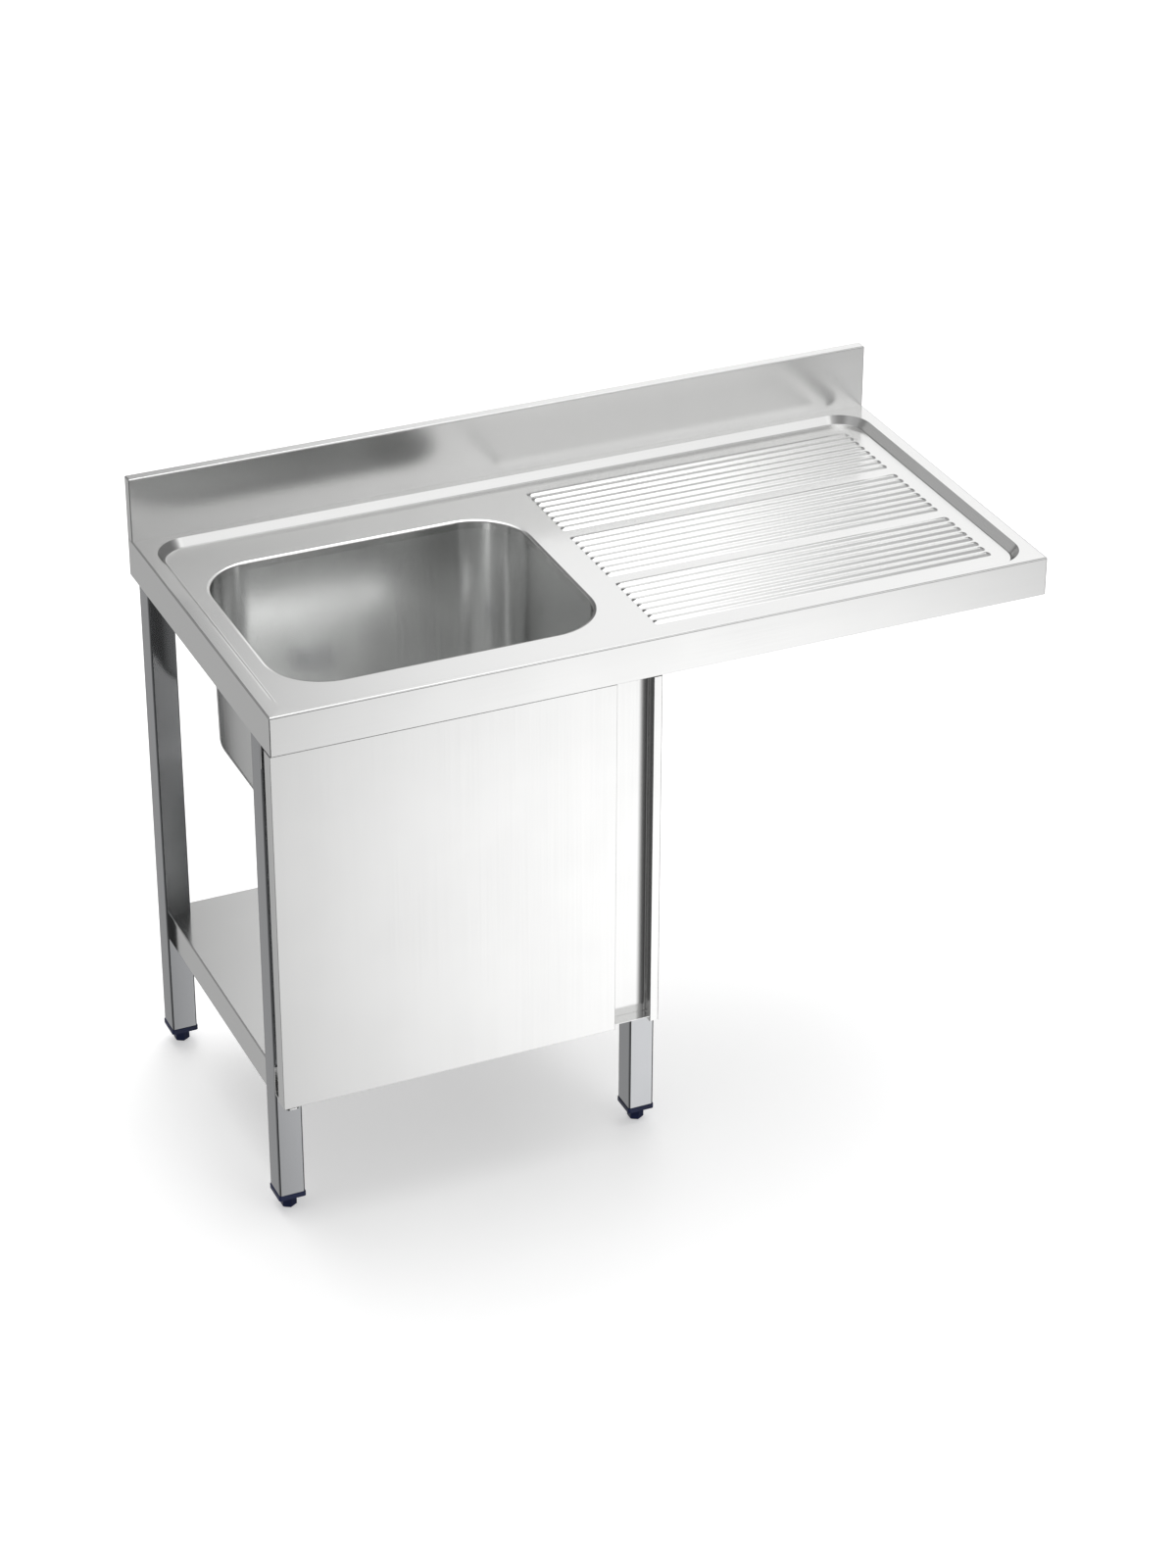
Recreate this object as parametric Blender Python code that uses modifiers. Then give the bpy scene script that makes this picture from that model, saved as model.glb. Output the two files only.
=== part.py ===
"""Stainless steel sink unit with a drainer that overhangs an open appliance bay.

The unit stands on its feet at z = 0, the front faces -Y and the length runs along X.
All sizes are in metres.
"""
import math

import bmesh
import bpy
from mathutils import Matrix, Vector

# Overall sizes of the top
TOP_LENGTH = 1.200
TOP_DEPTH = 0.600
TOP_HEIGHT = 0.855
TOP_SHEET = 0.0012
APRON_HEIGHT = 0.060
APRON_HEM = 0.0026
EDGE_BEND = 0.0025

# Upstand along the back
UPSTAND_HEIGHT = 0.100
UPSTAND_DEPTH = 0.0185
UPSTAND_REAR_LIP = 0.030

# Pressed recess of the deck
RECESS_SIDE_RIM = 0.0204
RECESS_FRONT_RIM = 0.010
RECESS_BACK_RIM = 0.0317
RECESS_DEPTH = 0.0125
RECESS_WALL = 0.0105
RECESS_RADIUS = 0.052

# Bowl, with the flat margins between the recess wall and its lip
BOWL_LEFT_MARGIN = 0.0188
BOWL_FRONT_MARGIN = 0.0598
BOWL_LENGTH = 0.489
BOWL_WIDTH = 0.387
BOWL_DEPTH = 0.270
BOWL_RADIUS = 0.085
BOWL_FILLET = 0.028
BOWL_DRAFT = 0.016
BOWL_FALL = 0.004
BOWL_SHEET = 0.0010
LIP_RADIUS = 0.009
LIP_DROP = 0.013

# Drainer beads, with the flat margins round the field that they fill
BEAD_BOWL_MARGIN = 0.0443
BEAD_END_MARGIN = 0.0261
BEAD_FRONT_MARGIN = 0.0400
BEAD_BACK_MARGIN = 0.0343
BEAD_WIDTH = 0.013
BEAD_HEIGHT = 0.0028
BEADS_IN_GROUP = 8
BEAD_GROUPS = 3

# Frame under the top
LEG_SIZE = 0.040
LEG_WALL = 0.0015
LEG_CORNER = 0.003
LEG_LEFT_INSET = 0.004
LEG_FRONT_INSET = 0.0524
LEG_BACK_INSET = 0.0273
LEG_BOWL_GAP = 0.0150
RAIL_WIDTH = 0.020
RAIL_HEIGHT = 0.030
RAIL_WALL = 0.0015
RAIL_CORNER = 0.002
RAIL_END_MARGIN = 0.040

# Plastic leg caps and screw feet
CAP_RIM = 0.008
CAP_OVERHANG = 0.001
CAP_PLUG = 0.025
FOOT_HEIGHT = 0.0217
FOOT_ACROSS_FLATS = 0.022
FOOT_CHAMFER = 0.004
STEM_RADIUS = 0.005
STEM_LENGTH = 0.045

# Shelf between the legs
SHELF_HEIGHT = 0.235
SHELF_FLANGE = 0.051
SHELF_HEM = 0.015
SHELF_INSET = 0.00865
SHELF_SHEET = 0.0010
STIFFENER_WIDTH = 0.060
STIFFENER_DEPTH = 0.030
STIFFENER_FOOT = 0.018

# Swing door
DOOR_BOTTOM = 0.216
DOOR_TOP_GAP = 0.002
DOOR_DEPTH = 0.023
DOOR_SETBACK = 0.003
DOOR_SHEET = 0.0010
DOOR_BEND = 0.0015
GRIP_LIP_WIDTH = 0.027
GRIP_LIP_DEPTH = 0.010
SKIN_RETURN = 0.004

# Door hinge
HINGE_FROM_LEFT = 0.014
HINGE_FROM_DOOR_FACE = 0.012
PIN_RADIUS = 0.004
PIN_HEAD_RADIUS = 0.007
PIN_HEAD = 0.0016
BUSH_WALL = 0.002
BUSH_FLANGE = 0.0012
BUSH_RIM = 0.002
BUSH_REACH = 0.014
BRACKET_PLATE = 0.0025
BRACKET_WIDTH = 0.020
BRACKET_HEIGHT = 0.045
BRACKET_NOSE = 0.010

# Fixed jamb with the finger pocket beside the door
JAMB_GAP = 0.002
JAMB_TOP_GAP = 0.003
JAMB_SHEET = 0.0010
POCKET_WIDTH = 0.054
POCKET_DEPTH = 0.019
POCKET_CORNER = 0.008
POCKET_FLOOR_RISE = 0.009
JAMB_STRIP = 0.014
JAMB_STRIP_INSET = 0.0167
JAMB_FLANGE = 0.013

# Magnet catch behind the door
CATCH_LENGTH = 0.048
CATCH_DEPTH = 0.016
CATCH_HEIGHT = 0.040
CATCH_CENTRE_HEIGHT = 0.520
CATCH_CHAMFER = 0.00125
STRIKE_WIDTH = 0.022
STRIKE_SHEET = 0.0012
STRIKE_GAP = 0.0006

# Waste fitting in the bowl
WASTE_HOLE_RADIUS = 0.026
WASTE_SEAT_RADIUS = 0.044
WASTE_SEAT_DEPTH = 0.004
WASTE_FLANGE_RADIUS = 0.039
WASTE_FLANGE = 0.003
WASTE_WALL = 0.003
WASTE_TAIL = 0.062
STRAINER_SHEET = 0.002
STRAINER_HOLE_RADIUS = 0.0042
STRAINER_HOLES = 6
STRAINER_HOLE_CIRCLE = 0.0125
GASKET_RADIUS = 0.038
GASKET_THICKNESS = 0.003
NUT_RADIUS = 0.037
NUT_HEIGHT = 0.014

# Clearances
JOINT_GAP = 0.0003
TURNING_GAP = 0.0004

# Steps used on round stretches
CORNER_STEPS = 6
TURN_STEPS = 24
WALL_STEPS = 4
BEAD_END_STEPS = 3
BEAD_LEVELS = 3
FILLET_STEPS = 4
TUBE_STEPS = 2
BEND_STEPS = 2
STEM_STEPS = 12
SMOOTH_ANGLE = math.radians(40)

# A face within this angle of an axis faces it, and a cutter is this many sheets deep
FACING = math.cos(math.radians(25))
CUT_THROUGH = 4

# Places that follow from the sizes
LEFT = -TOP_LENGTH / 2
RIGHT = TOP_LENGTH / 2
FRONT = -TOP_DEPTH / 2
BACK = TOP_DEPTH / 2
APRON_BOTTOM = TOP_HEIGHT - APRON_HEIGHT
RECESS_FLOOR = TOP_HEIGHT - RECESS_DEPTH
FLOOR_LEFT = LEFT + RECESS_SIDE_RIM + RECESS_WALL
FLOOR_RIGHT = RIGHT - RECESS_SIDE_RIM - RECESS_WALL
FLOOR_FRONT = FRONT + RECESS_FRONT_RIM + RECESS_WALL
FLOOR_BACK = BACK - RECESS_BACK_RIM - RECESS_WALL
BOWL_X = FLOOR_LEFT + BOWL_LEFT_MARGIN + LIP_RADIUS + BOWL_LENGTH / 2
BOWL_Y = FLOOR_FRONT + BOWL_FRONT_MARGIN + LIP_RADIUS + BOWL_WIDTH / 2
BOWL_RIGHT = BOWL_X + BOWL_LENGTH / 2
BEAD_LEFT = BOWL_RIGHT + LIP_RADIUS + BEAD_BOWL_MARGIN
BEAD_RIGHT = FLOOR_RIGHT - BEAD_END_MARGIN
BOWL_RIM = RECESS_FLOOR - LIP_DROP - JOINT_GAP
BOWL_FLOOR = RECESS_FLOOR - BOWL_DEPTH
WASTE_SEAT = BOWL_FLOOR - BOWL_FALL - WASTE_SEAT_DEPTH
RAIL_TOP = RECESS_FLOOR - TOP_SHEET - JOINT_GAP
RAIL_BOTTOM = RAIL_TOP - RAIL_HEIGHT
LEG_LEFT = LEFT + LEG_LEFT_INSET
LEG_FRONT = FRONT + LEG_FRONT_INSET
LEG_RIGHT = BOWL_RIGHT + BOWL_SHEET + LEG_BOWL_GAP + LEG_SIZE
LEG_BACK = BACK - LEG_BACK_INSET
CAP_BOTTOM = FOOT_HEIGHT + JOINT_GAP
LEG_BOTTOM = CAP_BOTTOM + CAP_RIM + JOINT_GAP
LEG_TOP = RAIL_BOTTOM - JOINT_GAP
DOOR_FACE = FRONT + DOOR_SETBACK
DOOR_REAR = DOOR_FACE + DOOR_DEPTH
STRIP_RIGHT = LEG_RIGHT - JAMB_STRIP_INSET
POCKET_RIGHT = STRIP_RIGHT - JAMB_STRIP
JAMB_LEFT = POCKET_RIGHT - POCKET_WIDTH
DOOR_RIGHT = JAMB_LEFT - JAMB_GAP
DOOR_TOP = APRON_BOTTOM - DOOR_TOP_GAP
HINGE_X = LEFT + HINGE_FROM_LEFT
HINGE_Y = DOOR_FACE + HINGE_FROM_DOOR_FACE
BUSH_RADIUS = PIN_RADIUS + TURNING_GAP + BUSH_WALL
POCKET_BACK = DOOR_FACE + POCKET_DEPTH
JAMB_REAR = LEG_FRONT - JOINT_GAP - JAMB_SHEET
JAMB_TOP = APRON_BOTTOM - JAMB_TOP_GAP
WASTE_TUBE_RADIUS = WASTE_HOLE_RADIUS - TURNING_GAP
BRACKET_UNDER_DOOR = DOOR_BOTTOM - JOINT_GAP - BUSH_FLANGE - JOINT_GAP
BRACKET_OVER_DOOR = DOOR_TOP + JOINT_GAP + BUSH_FLANGE + JOINT_GAP


def clear_scene():
    """Remove every object that the scene already holds."""
    for item in list(bpy.data.objects):
        bpy.data.objects.remove(item, do_unlink=True)


def new_collection(name):
    collection = bpy.data.collections.new(name)
    bpy.context.scene.collection.children.link(collection)
    return collection


def new_material(name, colour, roughness, metallic):
    material = bpy.data.materials.new(name)
    material.use_nodes = True
    shader = material.node_tree.nodes["Principled BSDF"]
    shader.inputs["Base Color"].default_value = (*colour, 1.0)
    shader.inputs["Roughness"].default_value = roughness
    shader.inputs["Metallic"].default_value = metallic
    return material


clear_scene()
PARTS = new_collection("sink_unit")
CUTTERS = new_collection("sink_unit_cutters")
BRUSHED = new_material("brushed_stainless", (0.72, 0.72, 0.71), 0.30, 1.0)
POLISHED = new_material("polished_stainless", (0.66, 0.67, 0.70), 0.16, 1.0)
BOWL_STEEL = new_material("drawn_stainless", (0.58, 0.59, 0.58), 0.34, 1.0)
ZINC = new_material("zinc_plate", (0.60, 0.62, 0.64), 0.42, 1.0)
NAVY = new_material("navy_plastic", (0.012, 0.022, 0.095), 0.45, 0.0)
PALE_PLASTIC = new_material("pale_grey_plastic", (0.62, 0.63, 0.64), 0.50, 0.0)
RUBBER = new_material("black_rubber", (0.02, 0.02, 0.02), 0.70, 0.0)


def add_object(name, mesh, material, place=(0, 0, 0), parent=None):
    """Make one named part from a mesh and put it at its place."""
    if not mesh.materials:
        mesh.materials.append(material)
    mesh.shade_smooth()
    mesh.set_sharp_from_angle(angle=SMOOTH_ANGLE)
    part = bpy.data.objects.new(name, mesh)
    PARTS.objects.link(part)
    part.location = place
    if parent is not None:
        part.parent = parent
        part.location = Vector(place) - parent.location
    return part


def mesh_from(bm, name, origin=(0, 0, 0)):
    """Turn a bmesh that was drawn in the unit's own frame into a mesh about its origin."""
    bmesh.ops.translate(bm, verts=bm.verts, vec=-Vector(origin))
    mesh = bpy.data.meshes.new(name)
    bm.to_mesh(mesh)
    bm.free()
    return mesh


def thicken(part, thickness):
    """Give an open sheet its wall, on the side away from its normals."""
    wall = part.modifiers.new("sheet", "SOLIDIFY")
    wall.thickness = thickness
    wall.offset = -1.0
    wall.use_even_offset = True
    wall.use_quality_normals = True
    return wall


def cut(part, cutter):
    hole = part.modifiers.new("hole", "BOOLEAN")
    hole.operation = "DIFFERENCE"
    hole.solver = "EXACT"
    hole.object = cutter


def add_cutter(name, radius, depth, place):
    """A round cutter standing along Z."""
    bm = bmesh.new()
    bmesh.ops.create_cone(bm, cap_ends=True, segments=TURN_STEPS, radius1=radius, radius2=radius, depth=depth)
    cutter = bpy.data.objects.new(name, mesh_from(bm, name))
    CUTTERS.objects.link(cutter)
    cutter.location = place
    cutter.hide_render = True
    cutter.display_type = "WIRE"
    return cutter


def rounded_rectangle(x_low, x_high, y_low, y_high, radius, z, steps=CORNER_STEPS):
    """Points of a rounded rectangle, anticlockwise seen from above, from the front right corner on."""
    centres = (
        (x_high - radius, y_low + radius, -90),
        (x_high - radius, y_high - radius, 0),
        (x_low + radius, y_high - radius, 90),
        (x_low + radius, y_low + radius, 180),
    )
    points = []
    for x, y, start in centres:
        for step in range(steps + 1):
            angle = math.radians(start + 90 * step / steps)
            points.append(Vector((x + radius * math.cos(angle), y + radius * math.sin(angle), z)))
    return points


def rectangle(x_low, x_high, y_low, y_high, z):
    corners = ((x_low, y_low), (x_high, y_low), (x_high, y_high), (x_low, y_high))
    return [Vector((x, y, z)) for x, y in corners]


def circle(x, y, radius, z, steps=CORNER_STEPS):
    """Points of a circle that match a rounded rectangle's points one to one."""
    return rounded_rectangle(x - radius, x + radius, y - radius, y + radius, radius, z, steps)


def stadium(x_low, x_high, y, half_width, z):
    """Points of a slot outline with round ends."""
    points = []
    for x, start in ((x_high - half_width, -90), (x_low + half_width, 90)):
        for step in range(BEAD_END_STEPS + 1):
            angle = math.radians(start + 180 * step / BEAD_END_STEPS)
            points.append(Vector((x + half_width * math.cos(angle), y + half_width * math.sin(angle), z)))
    return points


def loft(bm, rings, closed=False):
    """Skin rings that have the same number of points, in order. Return the rings' vertices."""
    loops = [[bm.verts.new(point) for point in ring] for ring in rings]
    pairs = list(zip(loops, loops[1:]))
    if closed:
        pairs.append((loops[-1], loops[0]))
    for low, high in pairs:
        for here in range(len(low)):
            ahead = (here + 1) % len(low)
            bm.faces.new((low[here], low[ahead], high[ahead], high[here]))
    return loops


def loop_edges(bm, loop):
    """The edges round a loop of vertices, made where they are missing."""
    edges = []
    for here, vertex in enumerate(loop):
        other = loop[(here + 1) % len(loop)]
        edges.append(bm.edges.get((vertex, other)) or bm.edges.new((vertex, other)))
    return edges


def fill_flat(bm, loops):
    """Fill the flat region between an outer loop and the loops inside it, facing up."""
    edges = []
    for loop in loops:
        edges.extend(loop_edges(bm, loop))
    filled = bmesh.ops.triangle_fill(bm, use_beauty=True, edges=edges, normal=(0, 0, 1))
    faces = [item for item in filled["geom"] if isinstance(item, bmesh.types.BMFace)]
    downward = [face for face in faces if face.normal.z < 0]
    bmesh.ops.reverse_faces(bm, faces=downward)


def quarter(steps):
    """Angles of a quarter turn."""
    return [math.pi / 2 * step / steps for step in range(steps + 1)]


def box(bm, low, high):
    """A box between two corners, as a primitive cube. Return its vertices."""
    low, high = Vector(low), Vector(high)
    made = bmesh.ops.create_cube(bm, size=1.0)
    bmesh.ops.scale(bm, verts=made["verts"], vec=high - low)
    bmesh.ops.translate(bm, verts=made["verts"], vec=(low + high) / 2)
    return made["verts"]


def slice_at(bm, point, normal):
    """Cut every face along a plane, keeping both sides."""
    everything = bm.verts[:] + bm.edges[:] + bm.faces[:]
    bmesh.ops.bisect_plane(bm, geom=everything, plane_co=point, plane_no=normal)


def drop_faces(bm, test):
    """Delete the faces whose middle passes the test."""
    doomed = [face for face in bm.faces if test(face.calc_center_median(), face.normal)]
    bmesh.ops.delete(bm, geom=doomed, context="FACES")


def soften(bm, edges, radius, steps):
    """Round the given edges, or chamfer them with one step."""
    bmesh.ops.bevel(bm, geom=edges, offset=radius, segments=steps, affect="EDGES", profile=0.5)


def turned(name, profile, material, place, parent=None, closed=True, steps=TURN_STEPS):
    """A turned piece from a profile of (radius, height), listed down the outer side."""
    bm = bmesh.new()
    verts = [bm.verts.new((radius, 0, height)) for radius, height in profile]
    for first, second in zip(verts, verts[1:]):
        bm.edges.new((first, second))
    if closed:
        bm.edges.new((verts[-1], verts[0]))
    part = add_object(name, mesh_from(bm, name), material, place, parent)
    screw = part.modifiers.new("turn", "SCREW")
    screw.steps = steps
    screw.render_steps = steps
    screw.use_merge_vertices = True
    screw.merge_threshold = 0.00001
    return part


def bead_rows():
    """The y of each drainer bead: groups of beads with one bead left out between groups."""
    places = BEAD_GROUPS * (BEADS_IN_GROUP + 1) - 1
    first = FLOOR_FRONT + BEAD_FRONT_MARGIN + BEAD_WIDTH / 2
    last = FLOOR_BACK - BEAD_BACK_MARGIN - BEAD_WIDTH / 2
    pitch = (last - first) / (places - 1)
    return [first + place * pitch for place in range(places) if (place + 1) % (BEADS_IN_GROUP + 1)]


def raise_bead(bm, y):
    """One round-topped bead with round ends. Return its loop on the recess floor."""
    half = BEAD_WIDTH / 2
    arc_radius = (half**2 + BEAD_HEIGHT**2) / (2 * BEAD_HEIGHT)
    rings = []
    for level in range(BEAD_LEVELS):
        reach = half * (1 - level / BEAD_LEVELS)
        rise = math.sqrt(arc_radius**2 - reach**2) - (arc_radius - BEAD_HEIGHT)
        inset = half - reach
        rings.append(stadium(BEAD_LEFT + inset, BEAD_RIGHT - inset, y, reach, RECESS_FLOOR + rise))
    loops = loft(bm, rings)
    crest = bm.faces.new(loops[-1])
    bmesh.ops.triangulate(bm, faces=[crest])
    return loops[0]


def apron_rings():
    """Rectangles up the outside of the top: hem, apron and bend."""
    steps = [(APRON_HEM, APRON_BOTTOM), (0, APRON_BOTTOM)]
    for angle in quarter(BEND_STEPS):
        steps.append((EDGE_BEND * (1 - math.cos(angle)), TOP_HEIGHT - EDGE_BEND * (1 - math.sin(angle))))
    return [rectangle(LEFT + i, RIGHT - i, FRONT + i, BACK - i, z) for i, z in steps]


def recess_rings():
    """Rounded rectangles down the soft wall of the recess."""
    rings = []
    for step in range(WALL_STEPS + 1):
        share = step / WALL_STEPS
        inset = RECESS_WALL * share
        drop = RECESS_DEPTH * (1 - math.cos(math.pi * share)) / 2
        rings.append(rounded_rectangle(
            LEFT + RECESS_SIDE_RIM + inset, RIGHT - RECESS_SIDE_RIM - inset,
            FRONT + RECESS_FRONT_RIM + inset, BACK - RECESS_BACK_RIM - inset,
            RECESS_RADIUS - inset, TOP_HEIGHT - drop))
    return rings


def bowl_outline(inset, z):
    """The bowl's inner outline, drawn in by an inset."""
    return rounded_rectangle(
        BOWL_X - BOWL_LENGTH / 2 + inset, BOWL_X + BOWL_LENGTH / 2 - inset,
        BOWL_Y - BOWL_WIDTH / 2 + inset, BOWL_Y + BOWL_WIDTH / 2 - inset,
        BOWL_RADIUS - inset, z)


def lip_rings():
    """Outlines over the rounded lip, down to where the bowl is welded on."""
    rings = []
    for angle in quarter(FILLET_STEPS - 1):
        inset = -LIP_RADIUS * (1 - math.sin(angle))
        rings.append(bowl_outline(inset, RECESS_FLOOR - LIP_RADIUS * (1 - math.cos(angle))))
    rings.append(bowl_outline(0, RECESS_FLOOR - LIP_DROP))
    return rings


def build_worktop():
    """One pressed sheet: apron with hem, rim, recess, drainer beads and the lip of the bowl."""
    bm = bmesh.new()
    apron = loft(bm, apron_rings())
    recess = loft(bm, recess_rings())
    lip = loft(bm, lip_rings())
    beads = [raise_bead(bm, y) for y in bead_rows()]
    fill_flat(bm, [apron[-1], recess[0]])
    fill_flat(bm, [recess[-1], lip[0], *beads])
    origin = (0, 0, TOP_HEIGHT)
    worktop = add_object("worktop", mesh_from(bm, "worktop", origin), BRUSHED, origin)
    thicken(worktop, TOP_SHEET)


def build_splashback():
    """A folded upstand with closed ends and a short lip down its back."""
    bottom = TOP_HEIGHT + JOINT_GAP
    top = TOP_HEIGHT + UPSTAND_HEIGHT
    bm = bmesh.new()
    box(bm, (LEFT, BACK - UPSTAND_DEPTH, bottom), (RIGHT, BACK, top))
    upper = [edge for edge in bm.edges if all(vertex.co.z > bottom + EDGE_BEND for vertex in edge.verts)]
    soften(bm, upper, EDGE_BEND, BEND_STEPS)
    lip_bottom = top - UPSTAND_REAR_LIP
    slice_at(bm, (0, 0, lip_bottom), (0, 0, 1))
    drop_faces(bm, lambda middle, normal: normal.z < -FACING)
    drop_faces(bm, lambda middle, normal: normal.y > FACING and middle.z < lip_bottom)
    origin = (0, BACK, TOP_HEIGHT)
    splashback = add_object("splashback", mesh_from(bm, "splashback", origin), BRUSHED, origin)
    thicken(splashback, TOP_SHEET)


def bowl_rings():
    """Outlines down the wall, round the bottom fillet and in to the waste hole."""
    wall_bottom = BOWL_FLOOR + BOWL_FILLET
    wall_inset = (BOWL_RIM - wall_bottom) * BOWL_DRAFT
    rings = [bowl_outline(0, BOWL_RIM)]
    for angle in quarter(FILLET_STEPS):
        inset = wall_inset + BOWL_FILLET * (1 - math.cos(angle))
        rings.append(bowl_outline(inset, wall_bottom - BOWL_FILLET * math.sin(angle)))
    seat_edge = WASTE_SEAT + WASTE_SEAT_DEPTH
    rings.append(circle(BOWL_X, BOWL_Y, WASTE_SEAT_RADIUS + WASTE_SEAT_DEPTH, seat_edge))
    rings.append(circle(BOWL_X, BOWL_Y, WASTE_SEAT_RADIUS, WASTE_SEAT))
    rings.append(circle(BOWL_X, BOWL_Y, WASTE_HOLE_RADIUS, WASTE_SEAT))
    return rings


def build_bowl():
    """The drawn bowl, welded under the lip of the top, falling to a sunk waste seat."""
    bm = bmesh.new()
    loft(bm, bowl_rings())
    origin = (BOWL_X, BOWL_Y, BOWL_RIM)
    bowl = add_object("bowl", mesh_from(bm, "bowl", origin), BOWL_STEEL, origin)
    thicken(bowl, BOWL_SHEET)


def tube_mesh(name, width, depth, corner, length):
    """An upright square tube's outer skin, standing on its origin."""
    bm = bmesh.new()
    outline = (-width / 2, width / 2, -depth / 2, depth / 2, corner)
    loft(bm, [rounded_rectangle(*outline, z, steps=TUBE_STEPS) for z in (0, length)])
    return mesh_from(bm, name)


def build_rail(name, start, end):
    """A level tube from one end point to the other, along X or Y, below the deck."""
    start, end = Vector(start), Vector(end)
    run = end - start
    mesh = tube_mesh(name, RAIL_HEIGHT, RAIL_WIDTH, RAIL_CORNER, run.length)
    lay_down = Matrix.Rotation(math.radians(90), 4, "Y")
    heading = Matrix.Rotation(math.atan2(run.y, run.x), 4, "Z")
    mesh.transform(heading @ lay_down)
    rail = add_object(name, mesh, BRUSHED, start)
    thicken(rail, RAIL_WALL)


def build_rails():
    """Two long rails carry the deck over the legs and the open bay, with cross rails between them."""
    middle = RAIL_TOP - RAIL_HEIGHT / 2
    half = RAIL_WIDTH / 2
    front = LEG_FRONT + half
    rear = LEG_BACK - half
    end = RIGHT - RAIL_END_MARGIN
    build_rail("front_rail", (LEG_LEFT, front, middle), (end, front, middle))
    build_rail("rear_rail", (LEG_LEFT, rear, middle), (end, rear, middle))
    near = front + half + JOINT_GAP
    far = rear - half - JOINT_GAP
    bowl_side = LEG_RIGHT - LEG_SIZE + half
    for name, x in (("left_cross_rail", LEG_LEFT + half), ("middle_cross_rail", bowl_side),
                    ("end_cross_rail", end - half)):
        build_rail(name, (x, near, middle), (x, far, middle))


def leg_places():
    """The name and middle of each leg."""
    near = LEG_FRONT + LEG_SIZE / 2
    far = LEG_BACK - LEG_SIZE / 2
    left = LEG_LEFT + LEG_SIZE / 2
    right = LEG_RIGHT - LEG_SIZE / 2
    return (
        ("front_left", left, near),
        ("front_right", right, near),
        ("rear_left", left, far),
        ("rear_right", right, far),
    )


def square_ring(half, corner, z):
    return rounded_rectangle(-half, half, -half, half, corner, z, steps=TUBE_STEPS)


def cap_mesh():
    """A cap with a rim under the tube, a plug inside it and a bore for the foot's stem."""
    rim = LEG_SIZE / 2 + CAP_OVERHANG
    plug = LEG_SIZE / 2 - LEG_WALL - JOINT_GAP
    bore = STEM_RADIUS + TURNING_GAP
    shoulder = CAP_BOTTOM + CAP_RIM
    plug_top = shoulder + CAP_PLUG
    bm = bmesh.new()
    loft(bm, [
        circle(0, 0, bore, CAP_BOTTOM, steps=TUBE_STEPS),
        square_ring(rim, LEG_CORNER, CAP_BOTTOM),
        square_ring(rim, LEG_CORNER, shoulder),
        square_ring(plug, LEG_CORNER, shoulder),
        square_ring(plug, LEG_CORNER, plug_top),
        circle(0, 0, bore, plug_top, steps=TUBE_STEPS),
    ], closed=True)
    return mesh_from(bm, "leg_cap")


def stem_ring(z):
    """Points round the foot's stem."""
    angles = [math.tau * step / STEM_STEPS for step in range(STEM_STEPS)]
    return [Vector((STEM_RADIUS * math.cos(angle), STEM_RADIUS * math.sin(angle), z)) for angle in angles]


def hexagon(half_flats, z):
    """A hexagon with a point at each corner and each mid-side, to match the stem's points."""
    corner_reach = half_flats / math.cos(math.pi / 6)
    points = []
    for step in range(STEM_STEPS):
        angle = math.tau * step / STEM_STEPS
        reach = half_flats if step % 2 == 0 else corner_reach
        points.append(Vector((reach * math.cos(angle), reach * math.sin(angle), z)))
    return points


def foot_mesh():
    """A hexagon nub with a chamfered base and a round stem up into the cap."""
    half = FOOT_ACROSS_FLATS / 2
    bm = bmesh.new()
    loops = loft(bm, [
        hexagon(half - FOOT_CHAMFER, 0),
        hexagon(half, FOOT_CHAMFER),
        hexagon(half, FOOT_HEIGHT),
        stem_ring(FOOT_HEIGHT),
        stem_ring(FOOT_HEIGHT + STEM_LENGTH),
    ])
    bm.faces.new(list(reversed(loops[0])))
    bm.faces.new(loops[-1])
    return mesh_from(bm, "foot")


def build_legs():
    """Four tube legs, each with its plastic cap and its screw foot."""
    leg = tube_mesh("leg", LEG_SIZE, LEG_SIZE, LEG_CORNER, LEG_TOP - LEG_BOTTOM)
    cap = cap_mesh()
    foot = foot_mesh()
    for name, x, y in leg_places():
        tube = add_object(f"{name}_leg", leg, POLISHED, (x, y, LEG_BOTTOM))
        thicken(tube, LEG_WALL)
        add_object(f"{name}_leg_cap", cap, NAVY, (x, y, 0))
        add_object(f"{name}_foot", foot, NAVY, (x, y, 0))


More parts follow.
